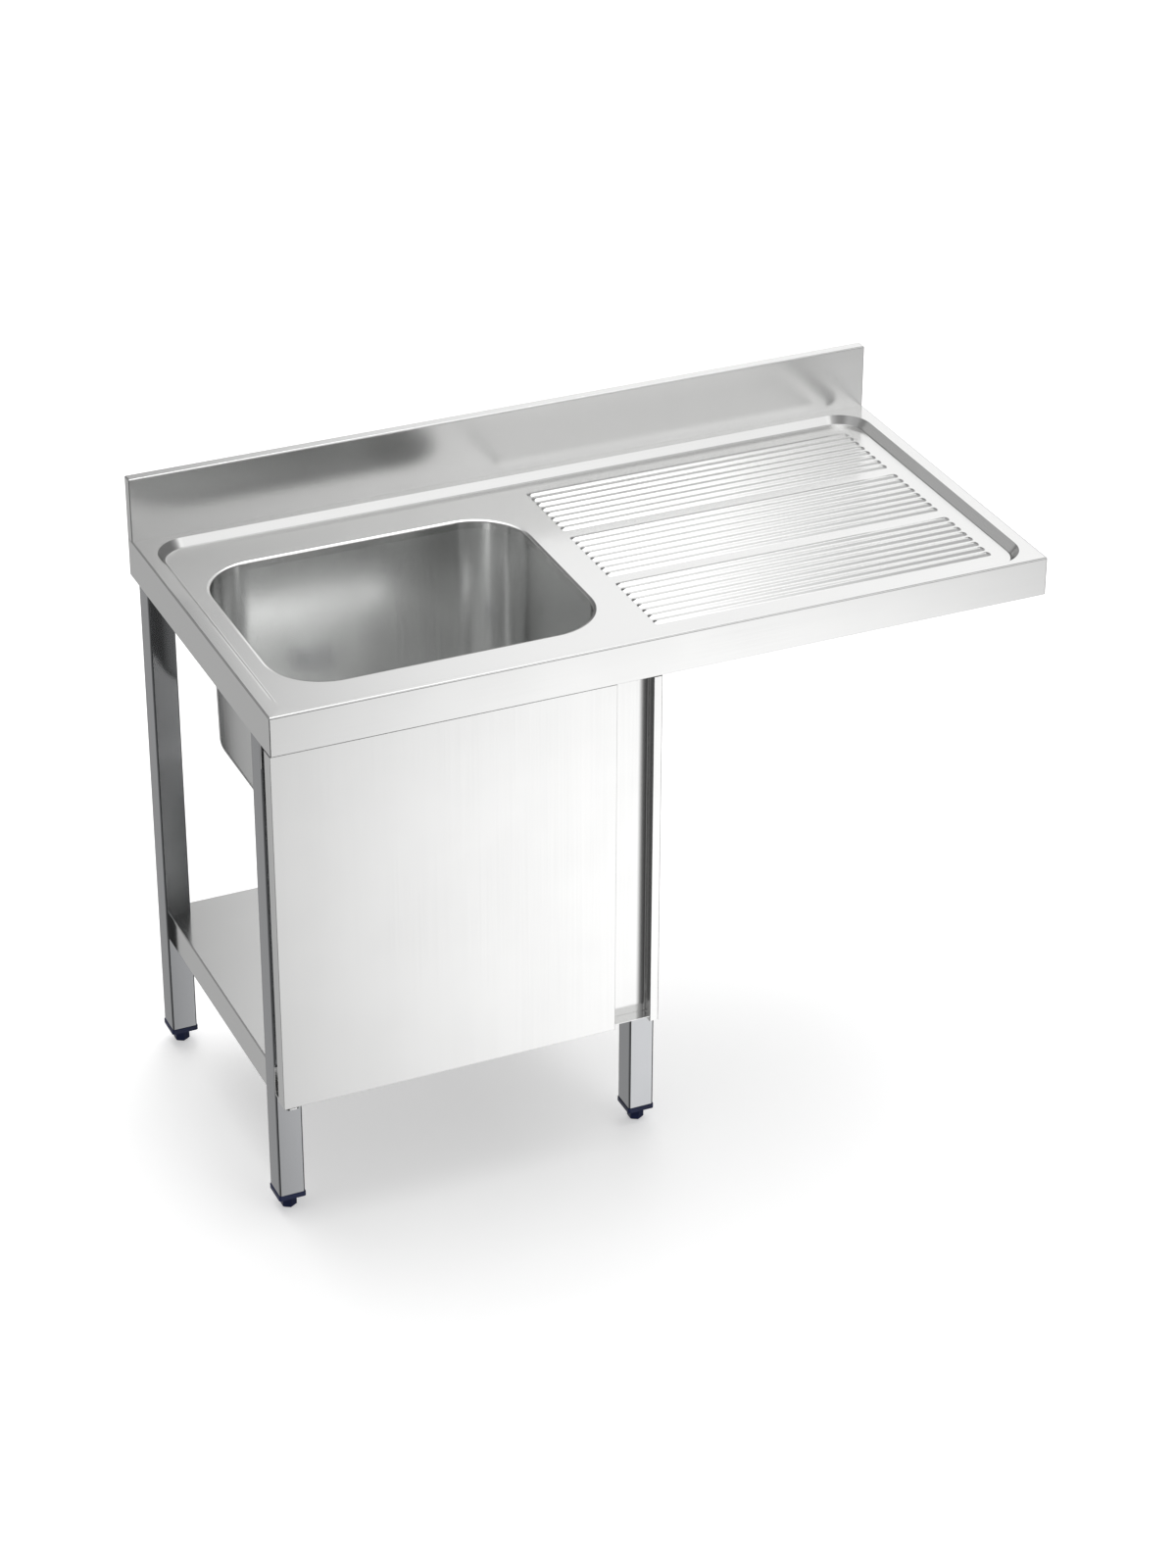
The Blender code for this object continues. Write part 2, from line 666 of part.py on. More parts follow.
def build_shelf():
    """A tray notched round the legs, its four edges folded down and hemmed."""
    left = LEG_LEFT + SHELF_INSET
    right = LEG_RIGHT - SHELF_INSET
    front = LEG_FRONT + SHELF_INSET
    back = LEG_BACK - SHELF_INSET
    notch_left = LEG_LEFT + LEG_SIZE + JOINT_GAP
    notch_right = LEG_RIGHT - LEG_SIZE - JOINT_GAP
    notch_front = LEG_FRONT + LEG_SIZE + JOINT_GAP
    notch_back = LEG_BACK - LEG_SIZE - JOINT_GAP
    bm = bmesh.new()
    outline = (
        (notch_left, front), (notch_right, front), (notch_right, notch_front), (right, notch_front),
        (right, notch_back), (notch_right, notch_back), (notch_right, back), (notch_left, back),
        (notch_left, notch_back), (left, notch_back), (left, notch_front), (notch_left, notch_front),
    )
    corners = [bm.verts.new((x, y, SHELF_HEIGHT)) for x, y in outline]
    bm.faces.new(corners)
    folds = ((0, 1, (0, 1, 0)), (3, 4, (-1, 0, 0)), (6, 7, (0, -1, 0)), (9, 10, (1, 0, 0)))
    for first, second, inward in folds:
        edge = bm.edges.get((corners[first], corners[second]))
        for move in (Vector((0, 0, -SHELF_FLANGE)), Vector(inward) * SHELF_HEM):
            grown = bmesh.ops.extrude_edge_only(bm, edges=[edge])["geom"]
            verts = [item for item in grown if isinstance(item, bmesh.types.BMVert)]
            bmesh.ops.translate(bm, verts=verts, vec=move)
            edge = next(item for item in grown if isinstance(item, bmesh.types.BMEdge)
                        and all(vertex in verts for vertex in item.verts))
    bmesh.ops.recalc_face_normals(bm, faces=bm.faces)
    top = max(bm.faces, key=lambda face: face.calc_center_median().z)
    if top.normal.z < 0:
        bmesh.ops.reverse_faces(bm, faces=bm.faces)
    origin = ((left + right) / 2, (front + back) / 2, SHELF_HEIGHT)
    shelf = add_object("shelf", mesh_from(bm, "shelf", origin), BRUSHED, origin)
    thicken(shelf, SHELF_SHEET)


def strip_mesh(name, points, run, sheet):
    """A folded sheet: a line of points swept along a run, its wall behind the face (line x run)."""
    bm = bmesh.new()
    near = [bm.verts.new(point) for point in points]
    far = [bm.verts.new(Vector(point) + Vector(run)) for point in points]
    for here in range(len(points) - 1):
        bm.faces.new((near[here], near[here + 1], far[here + 1], far[here]))
    origin = points[0]
    part = add_object(name, mesh_from(bm, name, origin), BRUSHED, origin)
    thicken(part, sheet)
    return part


def build_shelf_stiffener():
    """A hat section along the middle of the shelf's underside."""
    top = SHELF_HEIGHT - SHELF_SHEET - JOINT_GAP
    low = top - STIFFENER_DEPTH
    half = STIFFENER_WIDTH / 2
    reach = half - STIFFENER_FOOT
    middle = (LEG_FRONT + LEG_BACK) / 2
    start = LEG_LEFT + SHELF_INSET + SHELF_HEM + SHELF_SHEET + JOINT_GAP
    end = LEG_RIGHT - SHELF_INSET - SHELF_HEM - SHELF_SHEET - JOINT_GAP
    hat = ((half, top), (reach, top), (reach, low), (-reach, low), (-reach, top), (-half, top))
    strip_mesh("shelf_stiffener", [(start, middle + y, z) for y, z in hat], (end - start, 0, 0), SHELF_SHEET)


def add_axis(name, place):
    """An empty on a joint's axis, which carries the pieces that turn on it."""
    axis = bpy.data.objects.new(name, None)
    PARTS.objects.link(axis)
    axis.location = place
    return axis


def build_door(axis):
    """A folded pan with a grip lip down its free edge, closed behind by an inner skin."""
    grip = DOOR_RIGHT - GRIP_LIP_WIDTH
    lip_rear = DOOR_FACE + GRIP_LIP_DEPTH
    bush_hole = BUSH_RADIUS + JOINT_GAP
    bm = bmesh.new()
    box(bm, (LEFT, DOOR_FACE, DOOR_BOTTOM), (DOOR_RIGHT, DOOR_REAR, DOOR_TOP))
    drop_faces(bm, lambda middle, normal: normal.y > FACING)
    slice_at(bm, (grip, 0, 0), (1, 0, 0))
    slice_at(bm, (0, lip_rear, 0), (0, 1, 0))
    drop_faces(bm, lambda middle, normal: middle.x > grip and middle.y > lip_rear)
    front_edges = [edge for edge in bm.edges
                   if all(abs(vertex.co.y - DOOR_FACE) < JOINT_GAP for vertex in edge.verts)
                   and not all(abs(vertex.co.x - grip) < JOINT_GAP for vertex in edge.verts)]
    soften(bm, front_edges, DOOR_BEND, BEND_STEPS)
    outer = add_object("door_outer", mesh_from(bm, "door_outer", axis.location), BRUSHED, axis.location, axis)
    thicken(outer, DOOR_SHEET)
    for name, z in (("lower_bush_hole", DOOR_BOTTOM), ("upper_bush_hole", DOOR_TOP)):
        cut(outer, add_cutter(name, bush_hole, CUT_THROUGH * DOOR_SHEET, (HINGE_X, HINGE_Y, z)))

    inside = DOOR_SHEET + JOINT_GAP
    return_front = DOOR_REAR - SKIN_RETURN
    bm = bmesh.new()
    box(bm, (LEFT + inside, DOOR_FACE + inside, DOOR_BOTTOM + inside), (grip, DOOR_REAR, DOOR_TOP - inside))
    drop_faces(bm, lambda middle, normal: normal.y < -FACING)
    slice_at(bm, (0, return_front, 0), (0, 1, 0))
    drop_faces(bm, lambda middle, normal: middle.y < return_front and middle.x < grip - inside)
    inner = add_object("door_inner", mesh_from(bm, "door_inner", axis.location), BRUSHED, axis.location, axis)
    thicken(inner, DOOR_SHEET)


def build_hinge(name, axis, tongue, door_edge, away):
    """A bracket on the leg with a pin, and a flanged bush in the door's edge.

    The tongue is the face of the bracket towards the door; away points from the door to the tongue.
    """
    outer_face = tongue + away * BRACKET_PLATE
    plate_face = LEG_FRONT - JOINT_GAP
    plate_end = tongue - away * BRACKET_HEIGHT
    side = HINGE_X - BRACKET_WIDTH / 2
    points = [
        (side, HINGE_Y - BRACKET_NOSE, outer_face),
        (side, plate_face, outer_face),
        (side, plate_face, plate_end),
    ]
    if away > 0:
        points.reverse()
    bracket = strip_mesh(f"{name}_hinge_bracket", points, (BRACKET_WIDTH, 0, 0), BRACKET_PLATE)
    hole = PIN_RADIUS + JOINT_GAP
    depth = CUT_THROUGH * BRACKET_PLATE
    cut(bracket, add_cutter(f"{name}_pin_hole", hole, depth, (HINGE_X, HINGE_Y, outer_face)))

    head_face = outer_face + away * JOINT_GAP
    head_end = head_face + away * PIN_HEAD
    pin_end = door_edge - away * BUSH_REACH
    profile = [(0, head_end), (PIN_HEAD_RADIUS, head_end), (PIN_HEAD_RADIUS, head_face),
               (PIN_RADIUS, head_face), (PIN_RADIUS, pin_end), (0, pin_end)]
    turned_upright(f"{name}_hinge_pin", profile, ZINC, away, None, closed=False)

    bore = PIN_RADIUS + TURNING_GAP
    seat = door_edge + away * JOINT_GAP
    rim = seat + away * BUSH_FLANGE
    rim_radius = BUSH_RADIUS + JOINT_GAP + BUSH_RIM
    profile = [(bore, rim), (rim_radius, rim), (rim_radius, seat), (BUSH_RADIUS, seat),
               (BUSH_RADIUS, pin_end), (bore, pin_end)]
    turned_upright(f"{name}_hinge_bush", profile, PALE_PLASTIC, away, axis, closed=True)


def turned_upright(name, profile, material, away, axis, closed):
    """A turned hinge piece on the hinge line, its profile listed from the end that points away."""
    if away < 0:
        profile = list(reversed(profile))
    turned(name, profile, material, (HINGE_X, HINGE_Y, 0), axis, closed)


def build_jamb():
    """A fixed folded post beside the door: side wall, pocket, rounded corner, front strip and flange."""
    low = DOOR_BOTTOM
    rise = JAMB_TOP - low
    line = [(JAMB_LEFT, JAMB_REAR), (JAMB_LEFT, POCKET_BACK)]
    for angle in quarter(FILLET_STEPS):
        line.append((POCKET_RIGHT - POCKET_CORNER * (1 - math.sin(angle)),
                     POCKET_BACK - POCKET_CORNER * (1 - math.cos(angle))))
    line += [(POCKET_RIGHT, DOOR_FACE), (STRIP_RIGHT, DOOR_FACE), (STRIP_RIGHT, JAMB_REAR),
             (STRIP_RIGHT + JAMB_FLANGE, JAMB_REAR)]
    strip_mesh("jamb", [(x, y, low) for x, y in line], (0, 0, rise), JAMB_SHEET)

    gap = JOINT_GAP
    corner = POCKET_CORNER - gap
    outline = [(JAMB_LEFT, DOOR_FACE), (POCKET_RIGHT - gap, DOOR_FACE)]
    for angle in reversed(quarter(FILLET_STEPS)):
        outline.append((POCKET_RIGHT - gap - corner * (1 - math.sin(angle)),
                        POCKET_BACK - gap - corner * (1 - math.cos(angle))))
    outline.append((JAMB_LEFT, POCKET_BACK - gap))
    bm = bmesh.new()
    top = low + POCKET_FLOOR_RISE
    bm.faces.new([bm.verts.new((x, y, top)) for x, y in outline])
    origin = (JAMB_LEFT, DOOR_FACE, top)
    floor = add_object("pocket_floor", mesh_from(bm, "pocket_floor", origin), BRUSHED, origin)
    thicken(floor, JAMB_SHEET)


def build_catch(axis):
    """A magnet block on the jamb's side wall, and the steel strike on the door's inner skin."""
    strike_face = DOOR_REAR + JOINT_GAP + STRIKE_SHEET
    right = JAMB_LEFT - JOINT_GAP
    left = right - CATCH_LENGTH
    low = CATCH_CENTRE_HEIGHT - CATCH_HEIGHT / 2
    high = CATCH_CENTRE_HEIGHT + CATCH_HEIGHT / 2
    magnet_face = strike_face + STRIKE_GAP
    bm = bmesh.new()
    box(bm, (left, magnet_face, low), (right, magnet_face + CATCH_DEPTH, high))
    soften(bm, bm.edges[:], CATCH_CHAMFER, 1)
    origin = (right, magnet_face, CATCH_CENTRE_HEIGHT)
    add_object("magnet_catch", mesh_from(bm, "magnet_catch", origin), PALE_PLASTIC, origin)

    strike_left = DOOR_RIGHT - GRIP_LIP_WIDTH - STRIKE_WIDTH - DOOR_SHEET
    bm = bmesh.new()
    box(bm, (strike_left, DOOR_REAR + JOINT_GAP, low), (strike_left + STRIKE_WIDTH, strike_face, high))
    add_object("catch_strike", mesh_from(bm, "catch_strike", axis.location), ZINC, axis.location, axis)


def build_waste():
    """The waste: a flanged tail through the bowl, a strainer in it, a gasket and a ring nut below."""
    place = (BOWL_X, BOWL_Y, 0)
    flange_low = WASTE_SEAT + JOINT_GAP
    flange_top = flange_low + WASTE_FLANGE
    tail_low = flange_low - WASTE_TAIL
    tube = WASTE_TUBE_RADIUS
    bore = tube - WASTE_WALL
    ledge = bore - WASTE_WALL
    ledge_top = flange_top - STRAINER_SHEET - JOINT_GAP
    profile = [(bore, flange_top), (WASTE_FLANGE_RADIUS, flange_top), (WASTE_FLANGE_RADIUS, flange_low),
               (tube, flange_low), (tube, tail_low), (ledge, tail_low), (ledge, ledge_top), (bore, ledge_top)]
    turned("waste_tail", profile, POLISHED, place)

    disc = bore - JOINT_GAP
    plate_low = ledge_top + JOINT_GAP
    plate = [(0, flange_top), (disc, flange_top), (disc, plate_low), (0, plate_low)]
    strainer = turned("waste_strainer", plate, POLISHED, place, closed=False)
    depth = CUT_THROUGH * STRAINER_SHEET
    for hole in range(STRAINER_HOLES):
        angle = math.tau * hole / STRAINER_HOLES
        x = BOWL_X + STRAINER_HOLE_CIRCLE * math.cos(angle)
        y = BOWL_Y + STRAINER_HOLE_CIRCLE * math.sin(angle)
        cut(strainer, add_cutter(f"strainer_hole_{hole + 1}", STRAINER_HOLE_RADIUS, depth, (x, y, flange_top)))

    gasket_top = WASTE_SEAT - BOWL_SHEET - JOINT_GAP
    gasket_low = gasket_top - GASKET_THICKNESS
    inner = tube + TURNING_GAP
    gasket = [(inner, gasket_top), (GASKET_RADIUS, gasket_top), (GASKET_RADIUS, gasket_low), (inner, gasket_low)]
    turned("waste_gasket", gasket, RUBBER, place)

    nut_top = gasket_low - JOINT_GAP
    nut_low = nut_top - NUT_HEIGHT
    nut = [(inner, nut_top), (NUT_RADIUS, nut_top), (NUT_RADIUS, nut_low), (inner, nut_low)]
    turned("waste_nut", nut, PALE_PLASTIC, place)


def build_unit():
    build_worktop()
    build_splashback()
    build_bowl()
    build_rails()
    build_legs()
    build_shelf()
    build_shelf_stiffener()
    door_axis = add_axis("door_axis", (HINGE_X, HINGE_Y, DOOR_BOTTOM))
    build_door(door_axis)
    build_hinge("lower", door_axis, BRACKET_UNDER_DOOR, DOOR_BOTTOM, -1)
    build_hinge("upper", door_axis, BRACKET_OVER_DOOR, DOOR_TOP, 1)
    build_jamb()
    build_catch(door_axis)
    build_waste()


build_unit()
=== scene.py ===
import math

import bmesh
import bpy
from bpy.props import FloatProperty, FloatVectorProperty, IntProperty, PointerProperty
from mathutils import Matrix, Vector


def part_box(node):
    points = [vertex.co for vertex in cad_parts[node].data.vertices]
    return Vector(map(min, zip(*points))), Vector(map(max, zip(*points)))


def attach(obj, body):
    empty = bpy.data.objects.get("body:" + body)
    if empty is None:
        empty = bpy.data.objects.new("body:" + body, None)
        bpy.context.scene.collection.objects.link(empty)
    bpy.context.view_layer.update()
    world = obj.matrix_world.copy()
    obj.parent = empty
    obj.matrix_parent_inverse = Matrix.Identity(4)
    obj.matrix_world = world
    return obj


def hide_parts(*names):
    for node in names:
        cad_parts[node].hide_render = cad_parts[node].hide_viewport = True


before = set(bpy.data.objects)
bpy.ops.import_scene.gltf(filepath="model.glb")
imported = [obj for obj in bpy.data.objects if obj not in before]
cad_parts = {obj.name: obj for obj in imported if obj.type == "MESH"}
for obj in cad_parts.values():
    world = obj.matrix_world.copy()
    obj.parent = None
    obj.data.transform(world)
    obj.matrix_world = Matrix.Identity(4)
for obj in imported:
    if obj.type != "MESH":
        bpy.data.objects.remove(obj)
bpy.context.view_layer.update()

bl_info = {
    "name": "Stainless Sink Unit",
    "version": (1, 0, 0),
    "blender": (4, 5, 0),
    "location": "3D View > Sidebar > Sink Unit",
    "description": "Builds the finished surfaces of a stainless sink unit round its packed frame",
    "category": "Object",
}

CORNERS = ("front_left", "front_right", "rear_left", "rear_right")
RAILS = ("front_rail", "rear_rail", "left_cross_rail", "middle_cross_rail", "end_cross_rail")
UNIT = "unit"
DOOR = "door"
TOP_LOW, TOP_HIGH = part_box("worktop")
UPSTAND_LOW, UPSTAND_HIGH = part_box("splashback")
BOWL_LOW, BOWL_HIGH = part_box("bowl")
SHELF_LOW, SHELF_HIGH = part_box("shelf")
DOOR_LOW, DOOR_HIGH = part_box("door_outer")
JAMB_LOW, JAMB_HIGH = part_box("jamb")

UPRIGHT = (0, math.pi / 2, 0)
FRONT_TO_BACK = (0, 0, math.pi / 2)
LEAST_RADIUS = 0.0002  # keeps a corner's points apart where an inset takes up its radius
PIN_FIT = 0.0003
BORE_FIT = 0.0004
LATHE_EYE = 0.0006  # a turned solid's cap starts at this radius


# ---------------------------------------------------------------- sizes and colours

def length(name, description, default):
    """A size that a user would change."""
    return FloatProperty(name=name, description=description, default=default, min=0.0, unit="LENGTH", precision=4)


def share(name, description, default):
    """A value between nothing and all."""
    return FloatProperty(name=name, description=description, default=default, min=0.0, max=1.0, subtype="FACTOR")


def colour(name, description, default):
    """A finish's own colour."""
    return FloatVectorProperty(name=name, description=description, default=default, min=0.0, max=1.0,
                               size=3, subtype="COLOR")


class SINKUNIT_PG_top(bpy.types.PropertyGroup):
    """Sizes of the pressed top and its upstand."""
    sheet: length("Sheet", "Thickness of the top's sheet", 0.0012)
    hem: length("Hem", "Width of the return under the apron", 0.0026)
    edge_bend: length("Edge bend", "Outside radius of the folded edges", 0.0025)
    hem_bend: length("Hem bend", "Outside radius of the fold at the foot of the apron", 0.0005)
    corner: length("Corner", "Radius of the ground upright corners", 0.0015)
    side_rim: length("Side rim", "Flat rim left and right of the recess", 0.0204)
    front_rim: length("Front rim", "Flat rim in front of the recess", 0.0100)
    back_rim: length("Back rim", "Flat rim behind the recess", 0.0317)
    recess_depth: length("Recess depth", "Depth of the pressed recess", 0.0125)
    recess_wall: length("Recess wall", "Width of the sloping wall of the recess", 0.0105)
    recess_radius: length("Recess radius", "Corner radius of the recess", 0.052)
    recess_edge: length("Recess edge", "Radius of the recess's upper edge", 0.0010)
    recess_foot: length("Recess foot", "Radius between the recess's wall and floor", 0.0040)
    lip_ring: length("Lip ring", "Width of the dressed ring round the bowl", 0.0050)
    lip_fall: length("Lip fall", "Fall of the ring towards the bowl", 0.0010)
    lip_radius: length("Lip radius", "Radius of the rounded lip over the bowl", 0.0020)
    lip_drop: length("Lip drop", "Height of the lip down to the weld of the bowl", 0.013)
    rear_lip: length("Rear lip", "Height of the lip down the back of the upstand", 0.030)


class SINKUNIT_PG_bowl(bpy.types.PropertyGroup):
    """Sizes of the drawn bowl."""
    sheet: length("Sheet", "Thickness of the bowl's sheet", 0.0010)
    depth: length("Depth", "Depth of the bowl below the deck", 0.270)
    radius: length("Corner radius", "Radius of the bowl's upright corners", 0.085)
    fillet: length("Floor radius", "Radius between wall and floor", 0.028)
    draft: share("Draft", "How far the wall leans in for its height", 0.016)
    fall: length("Fall", "Fall of the floor to the waste", 0.004)
    seat_radius: length("Seat radius", "Radius of the sunk seat of the waste", 0.044)
    seat_depth: length("Seat depth", "Depth of the sunk seat of the waste", 0.004)
    hole_radius: length("Hole radius", "Radius of the waste hole", 0.026)


class SINKUNIT_PG_drainer(bpy.types.PropertyGroup):
    """Sizes of the pressed drainer beads."""
    left: FloatProperty(name="Left end", description="Place of the beads' left ends", default=0.0010, unit="LENGTH")
    right: FloatProperty(name="Right end", description="Place of the beads' right ends", default=0.5430,
                         unit="LENGTH")
    first: FloatProperty(name="First bead", description="Place of the bead nearest the front", default=-0.2330,
                         unit="LENGTH")
    pitch: length("Pitch", "Distance from bead to bead", 0.0180)
    width: length("Width", "Width of a bead", 0.0145)
    height: length("Height", "Height of a bead's slopes where they would meet", 0.0022)
    in_group: IntProperty(name="Beads in a group", description="Beads between two plain strips", default=8, min=1)
    groups: IntProperty(name="Groups", description="Groups of beads", default=3, min=1)


class SINKUNIT_PG_frame(bpy.types.PropertyGroup):
    """Sizes of the legs, the rails and the shelf."""
    leg_corner: length("Leg corner", "Outside corner radius of the leg tube", 0.0030)
    leg_wall: length("Leg wall", "Wall of the leg tube", 0.0015)
    rail_corner: length("Rail corner", "Outside corner radius of the rail tube", 0.0022)
    rail_wall: length("Rail wall", "Wall of the rail tube", 0.0015)
    cap_rim: length("Cap rim", "Height of the cap's rim below the tube", 0.0080)
    cap_edge: length("Cap edge", "Rounding of the cap's rim", 0.0007)
    stem_radius: length("Stem radius", "Radius of the foot's screwed stem", 0.0050)
    foot_height: length("Foot height", "Height of the foot's hexagon", 0.0217)
    foot_chamfer: length("Foot chamfer", "Chamfer round the foot's base", 0.0020)
    shelf_sheet: length("Shelf sheet", "Thickness of the shelf's sheet", 0.0010)
    shelf_bend: length("Shelf bend", "Outside radius of the shelf's folds", 0.0022)
    shelf_hem: length("Shelf hem", "Width of the return under the shelf's flange", 0.0150)
    notch_gap: length("Notch gap", "Room between the shelf's notches and the legs", 0.0003)


class SINKUNIT_PG_door(bpy.types.PropertyGroup):
    """Sizes of the door and the jamb beside it."""
    sheet: length("Sheet", "Thickness of the door's and the jamb's sheet", 0.0010)
    bend: length("Bend", "Outside radius of the folded edges", 0.0006)
    lip_width: length("Grip lip width", "Width of the grip lip down the free edge", 0.0270)
    lip_depth: length("Grip lip depth", "Depth of the grip lip", 0.0100)
    skin_return: length("Skin return", "Depth of the inner skin's folded edge", 0.0040)
    fit: length("Fit", "Room between neighbouring sheets", 0.0003)
    pocket_width: length("Pocket width", "Width of the finger pocket", 0.0540)
    pocket_depth: length("Pocket depth", "Depth of the finger pocket", 0.0190)
    pocket_sweep: length("Pocket sweep", "Width of the part of the pocket that sweeps forward", 0.0150)
    pocket_rise: length("Pocket rise", "How far the sweep comes forward before the corner", 0.0009)
    pocket_corner: length("Pocket corner", "Radius of the corner between the sweep and the strip", 0.0040)
    strip: length("Strip", "Width of the jamb's front strip", 0.0140)


class SINKUNIT_PG_fittings(bpy.types.PropertyGroup):
    """Sizes of the hinges, the catch and the waste."""
    hinge_x: FloatProperty(name="Hinge line X", description="Place of the hinge line", default=-0.586, unit="LENGTH")
    hinge_y: FloatProperty(name="Hinge line Y", description="Place of the hinge line", default=-0.285, unit="LENGTH")
    pin_radius: length("Pin radius", "Radius of the hinge pins", 0.0040)
    bush_radius: length("Bush radius", "Radius of the hinge bushes", 0.0064)
    bracket_plate: length("Bracket plate", "Thickness of the hinge brackets", 0.0025)
    screw_radius: length("Screw radius", "Radius of the small pan heads", 0.0036)
    tail_wall: length("Tail wall", "Wall of the waste tail", 0.0030)
    thread_pitch: length("Thread pitch", "Pitch of the waste tail's thread", 0.0023)
    strainer_hole: length("Strainer hole", "Radius of the strainer's holes", 0.0042)
    strainer_circle: length("Strainer circle", "Radius of the circle that the holes lie on", 0.0125)
    strainer_holes: IntProperty(name="Strainer holes", description="Holes in the strainer", default=6, min=3)
    nut_ribs: IntProperty(name="Nut ribs", description="Ribs round the ring nut", default=12, min=4)


class SINKUNIT_PG_finishes(bpy.types.PropertyGroup):
    """Colours and roughness of the finishes."""
    brushed: colour("Brushed steel", "Colour of the brushed sheet", (0.86, 0.86, 0.855))
    brushed_roughness: share("Brushed roughness", "Roughness of the brushed sheet", 0.17)
    upstand_roughness: share("Upstand roughness", "Roughness of the upstand, which is brushed more", 0.25)
    bowl: colour("Drawn steel", "Colour of the drawn bowl", (0.88, 0.885, 0.88))
    bowl_roughness: share("Drawn roughness", "Roughness of the drawn bowl", 0.22)
    polished: colour("Polished steel", "Colour of the polished tube", (0.47, 0.477, 0.49))
    polished_roughness: share("Polished roughness", "Roughness of the polished tube", 0.11)
    zinc: colour("Zinc plate", "Colour of the zinc plated pieces", (0.66, 0.68, 0.70))
    navy: colour("Navy plastic", "Colour of the caps and feet", (0.012, 0.022, 0.095))
    pale: colour("Pale grey plastic", "Colour of the bushes, the catch and the nut", (0.60, 0.61, 0.62))
    rubber: colour("Rubber", "Colour of the gasket", (0.018, 0.018, 0.019))


class SINKUNIT_PG_stage(bpy.types.PropertyGroup):
    """Floor, light and camera."""
    floor: colour("Floor", "Colour of the pale floor", (0.80, 0.80, 0.80))
    floor_lift: share("Floor lift", "How much of the floor's white doesn't take the shadow", 0.45)
    overhead: FloatProperty(name="Overhead", description="Strength of the overhead light", default=1.6, min=0.0)
    lens: FloatProperty(name="Lens", description="Focal length of the camera", default=90.77, unit="CAMERA")


def sizes(group):
    """The settings of one group on the scene."""
    return getattr(bpy.context.scene, f"sinkunit_{group}")


# ---------------------------------------------------------------- drawing helpers

def quarter(steps):
    """Angles of a quarter turn."""
    return [math.pi / 2 * step / steps for step in range(steps + 1)]


def rounded_rectangle(x_low, x_high, y_low, y_high, radius, z, steps):
    """Points of a rounded rectangle, anticlockwise seen from above, from the front right corner on."""
    centres = (
        (x_high - radius, y_low + radius, -90),
        (x_high - radius, y_high - radius, 0),
        (x_low + radius, y_high - radius, 90),
        (x_low + radius, y_low + radius, 180),
    )
    points = []
    for x, y, start in centres:
        for step in range(steps + 1):
            angle = math.radians(start + 90 * step / steps)
            points.append(Vector((x + radius * math.cos(angle), y + radius * math.sin(angle), z)))
    return points


def circle(x, y, radius, z, steps):
    """Points of a circle that match a rounded rectangle's points one to one."""
    return rounded_rectangle(x - radius, x + radius, y - radius, y + radius, radius, z, steps)


def edge_ring(low, high, inset, corner, z):
    """Outline of a folded edge round a box, drawn in by an inset."""
    return rounded_rectangle(low.x + inset, high.x - inset, low.y + inset, high.y - inset,
                             max(corner - inset, LEAST_RADIUS), z, 4)


def bend_over(bend, z):
    """Insets and heights of an upright sheet's bend that ends flat at a height."""
    return [(bend * (1 - math.cos(angle)), z - bend * (1 - math.sin(angle))) for angle in quarter(6)]


def ring(radius, z, count):
    """Points of a circle about Z."""
    angles = [math.tau * step / count for step in range(count)]
    return [Vector((radius * math.cos(angle), radius * math.sin(angle), z)) for angle in angles]


def round_corners(points, radius, steps, closed=False):
    """A flat line with its corners rounded, by one radius or by one for each point."""
    count = len(points)
    line = []
    for here in range(count):
        point = Vector(points[here])
        size = radius[here] if isinstance(radius, (list, tuple)) else radius
        if size <= 0 or (not closed and here in (0, count - 1)):
            line.append(point)
            continue
        back = (Vector(points[here - 1]) - point).normalized()
        ahead = (Vector(points[(here + 1) % count]) - point).normalized()
        half = back.angle(ahead) / 2
        reach = size / math.tan(half)
        centre = point + (back + ahead).normalized() * (size / math.sin(half))
        first = point + back * reach - centre
        last = point + ahead * reach - centre
        sweep = math.pi - 2 * half
        for step in range(steps + 1):
            part = sweep * step / steps
            line.append(centre + (first * math.sin(sweep - part) + last * math.sin(part)) / math.sin(sweep))
    return line


def loft(bm, rings, closed=False):
    """Skin rings that have the same number of points, in order. Return the rings' vertices."""
    loops = [[bm.verts.new(point) for point in points] for points in rings]
    pairs = list(zip(loops, loops[1:]))
    if closed:
        pairs.append((loops[-1], loops[0]))
    for low, high in pairs:
        for here in range(len(low)):
            ahead = (here + 1) % len(low)
            bm.faces.new((low[here], low[ahead], high[ahead], high[here]))
    return loops


def fill_flat(bm, loops):
    """Fill the flat region between an outer loop and the loops inside it, facing up."""
    edges = []
    for loop in loops:
        for here, vertex in enumerate(loop):
            other = loop[(here + 1) % len(loop)]
            edges.append(bm.edges.get((vertex, other)) or bm.edges.new((vertex, other)))
    filled = bmesh.ops.triangle_fill(bm, use_beauty=True, edges=edges, normal=(0, 0, 1))
    faces = [item for item in filled["geom"] if isinstance(item, bmesh.types.BMFace)]
    bmesh.ops.reverse_faces(bm, faces=[face for face in faces if face.normal.z < 0])


def box(bm, low, high):
    """A box between two corners. Return its vertices."""
    low, high = Vector(low), Vector(high)
    made = bmesh.ops.create_cube(bm, size=1.0)
    bmesh.ops.scale(bm, verts=made["verts"], vec=high - low)
    bmesh.ops.translate(bm, verts=made["verts"], vec=(low + high) / 2)
    return made["verts"]


def slice_at(bm, point, normal):
    """Cut every face along a plane, keeping both sides."""
    everything = bm.verts[:] + bm.edges[:] + bm.faces[:]
    bmesh.ops.bisect_plane(bm, geom=everything, plane_co=point, plane_no=normal)


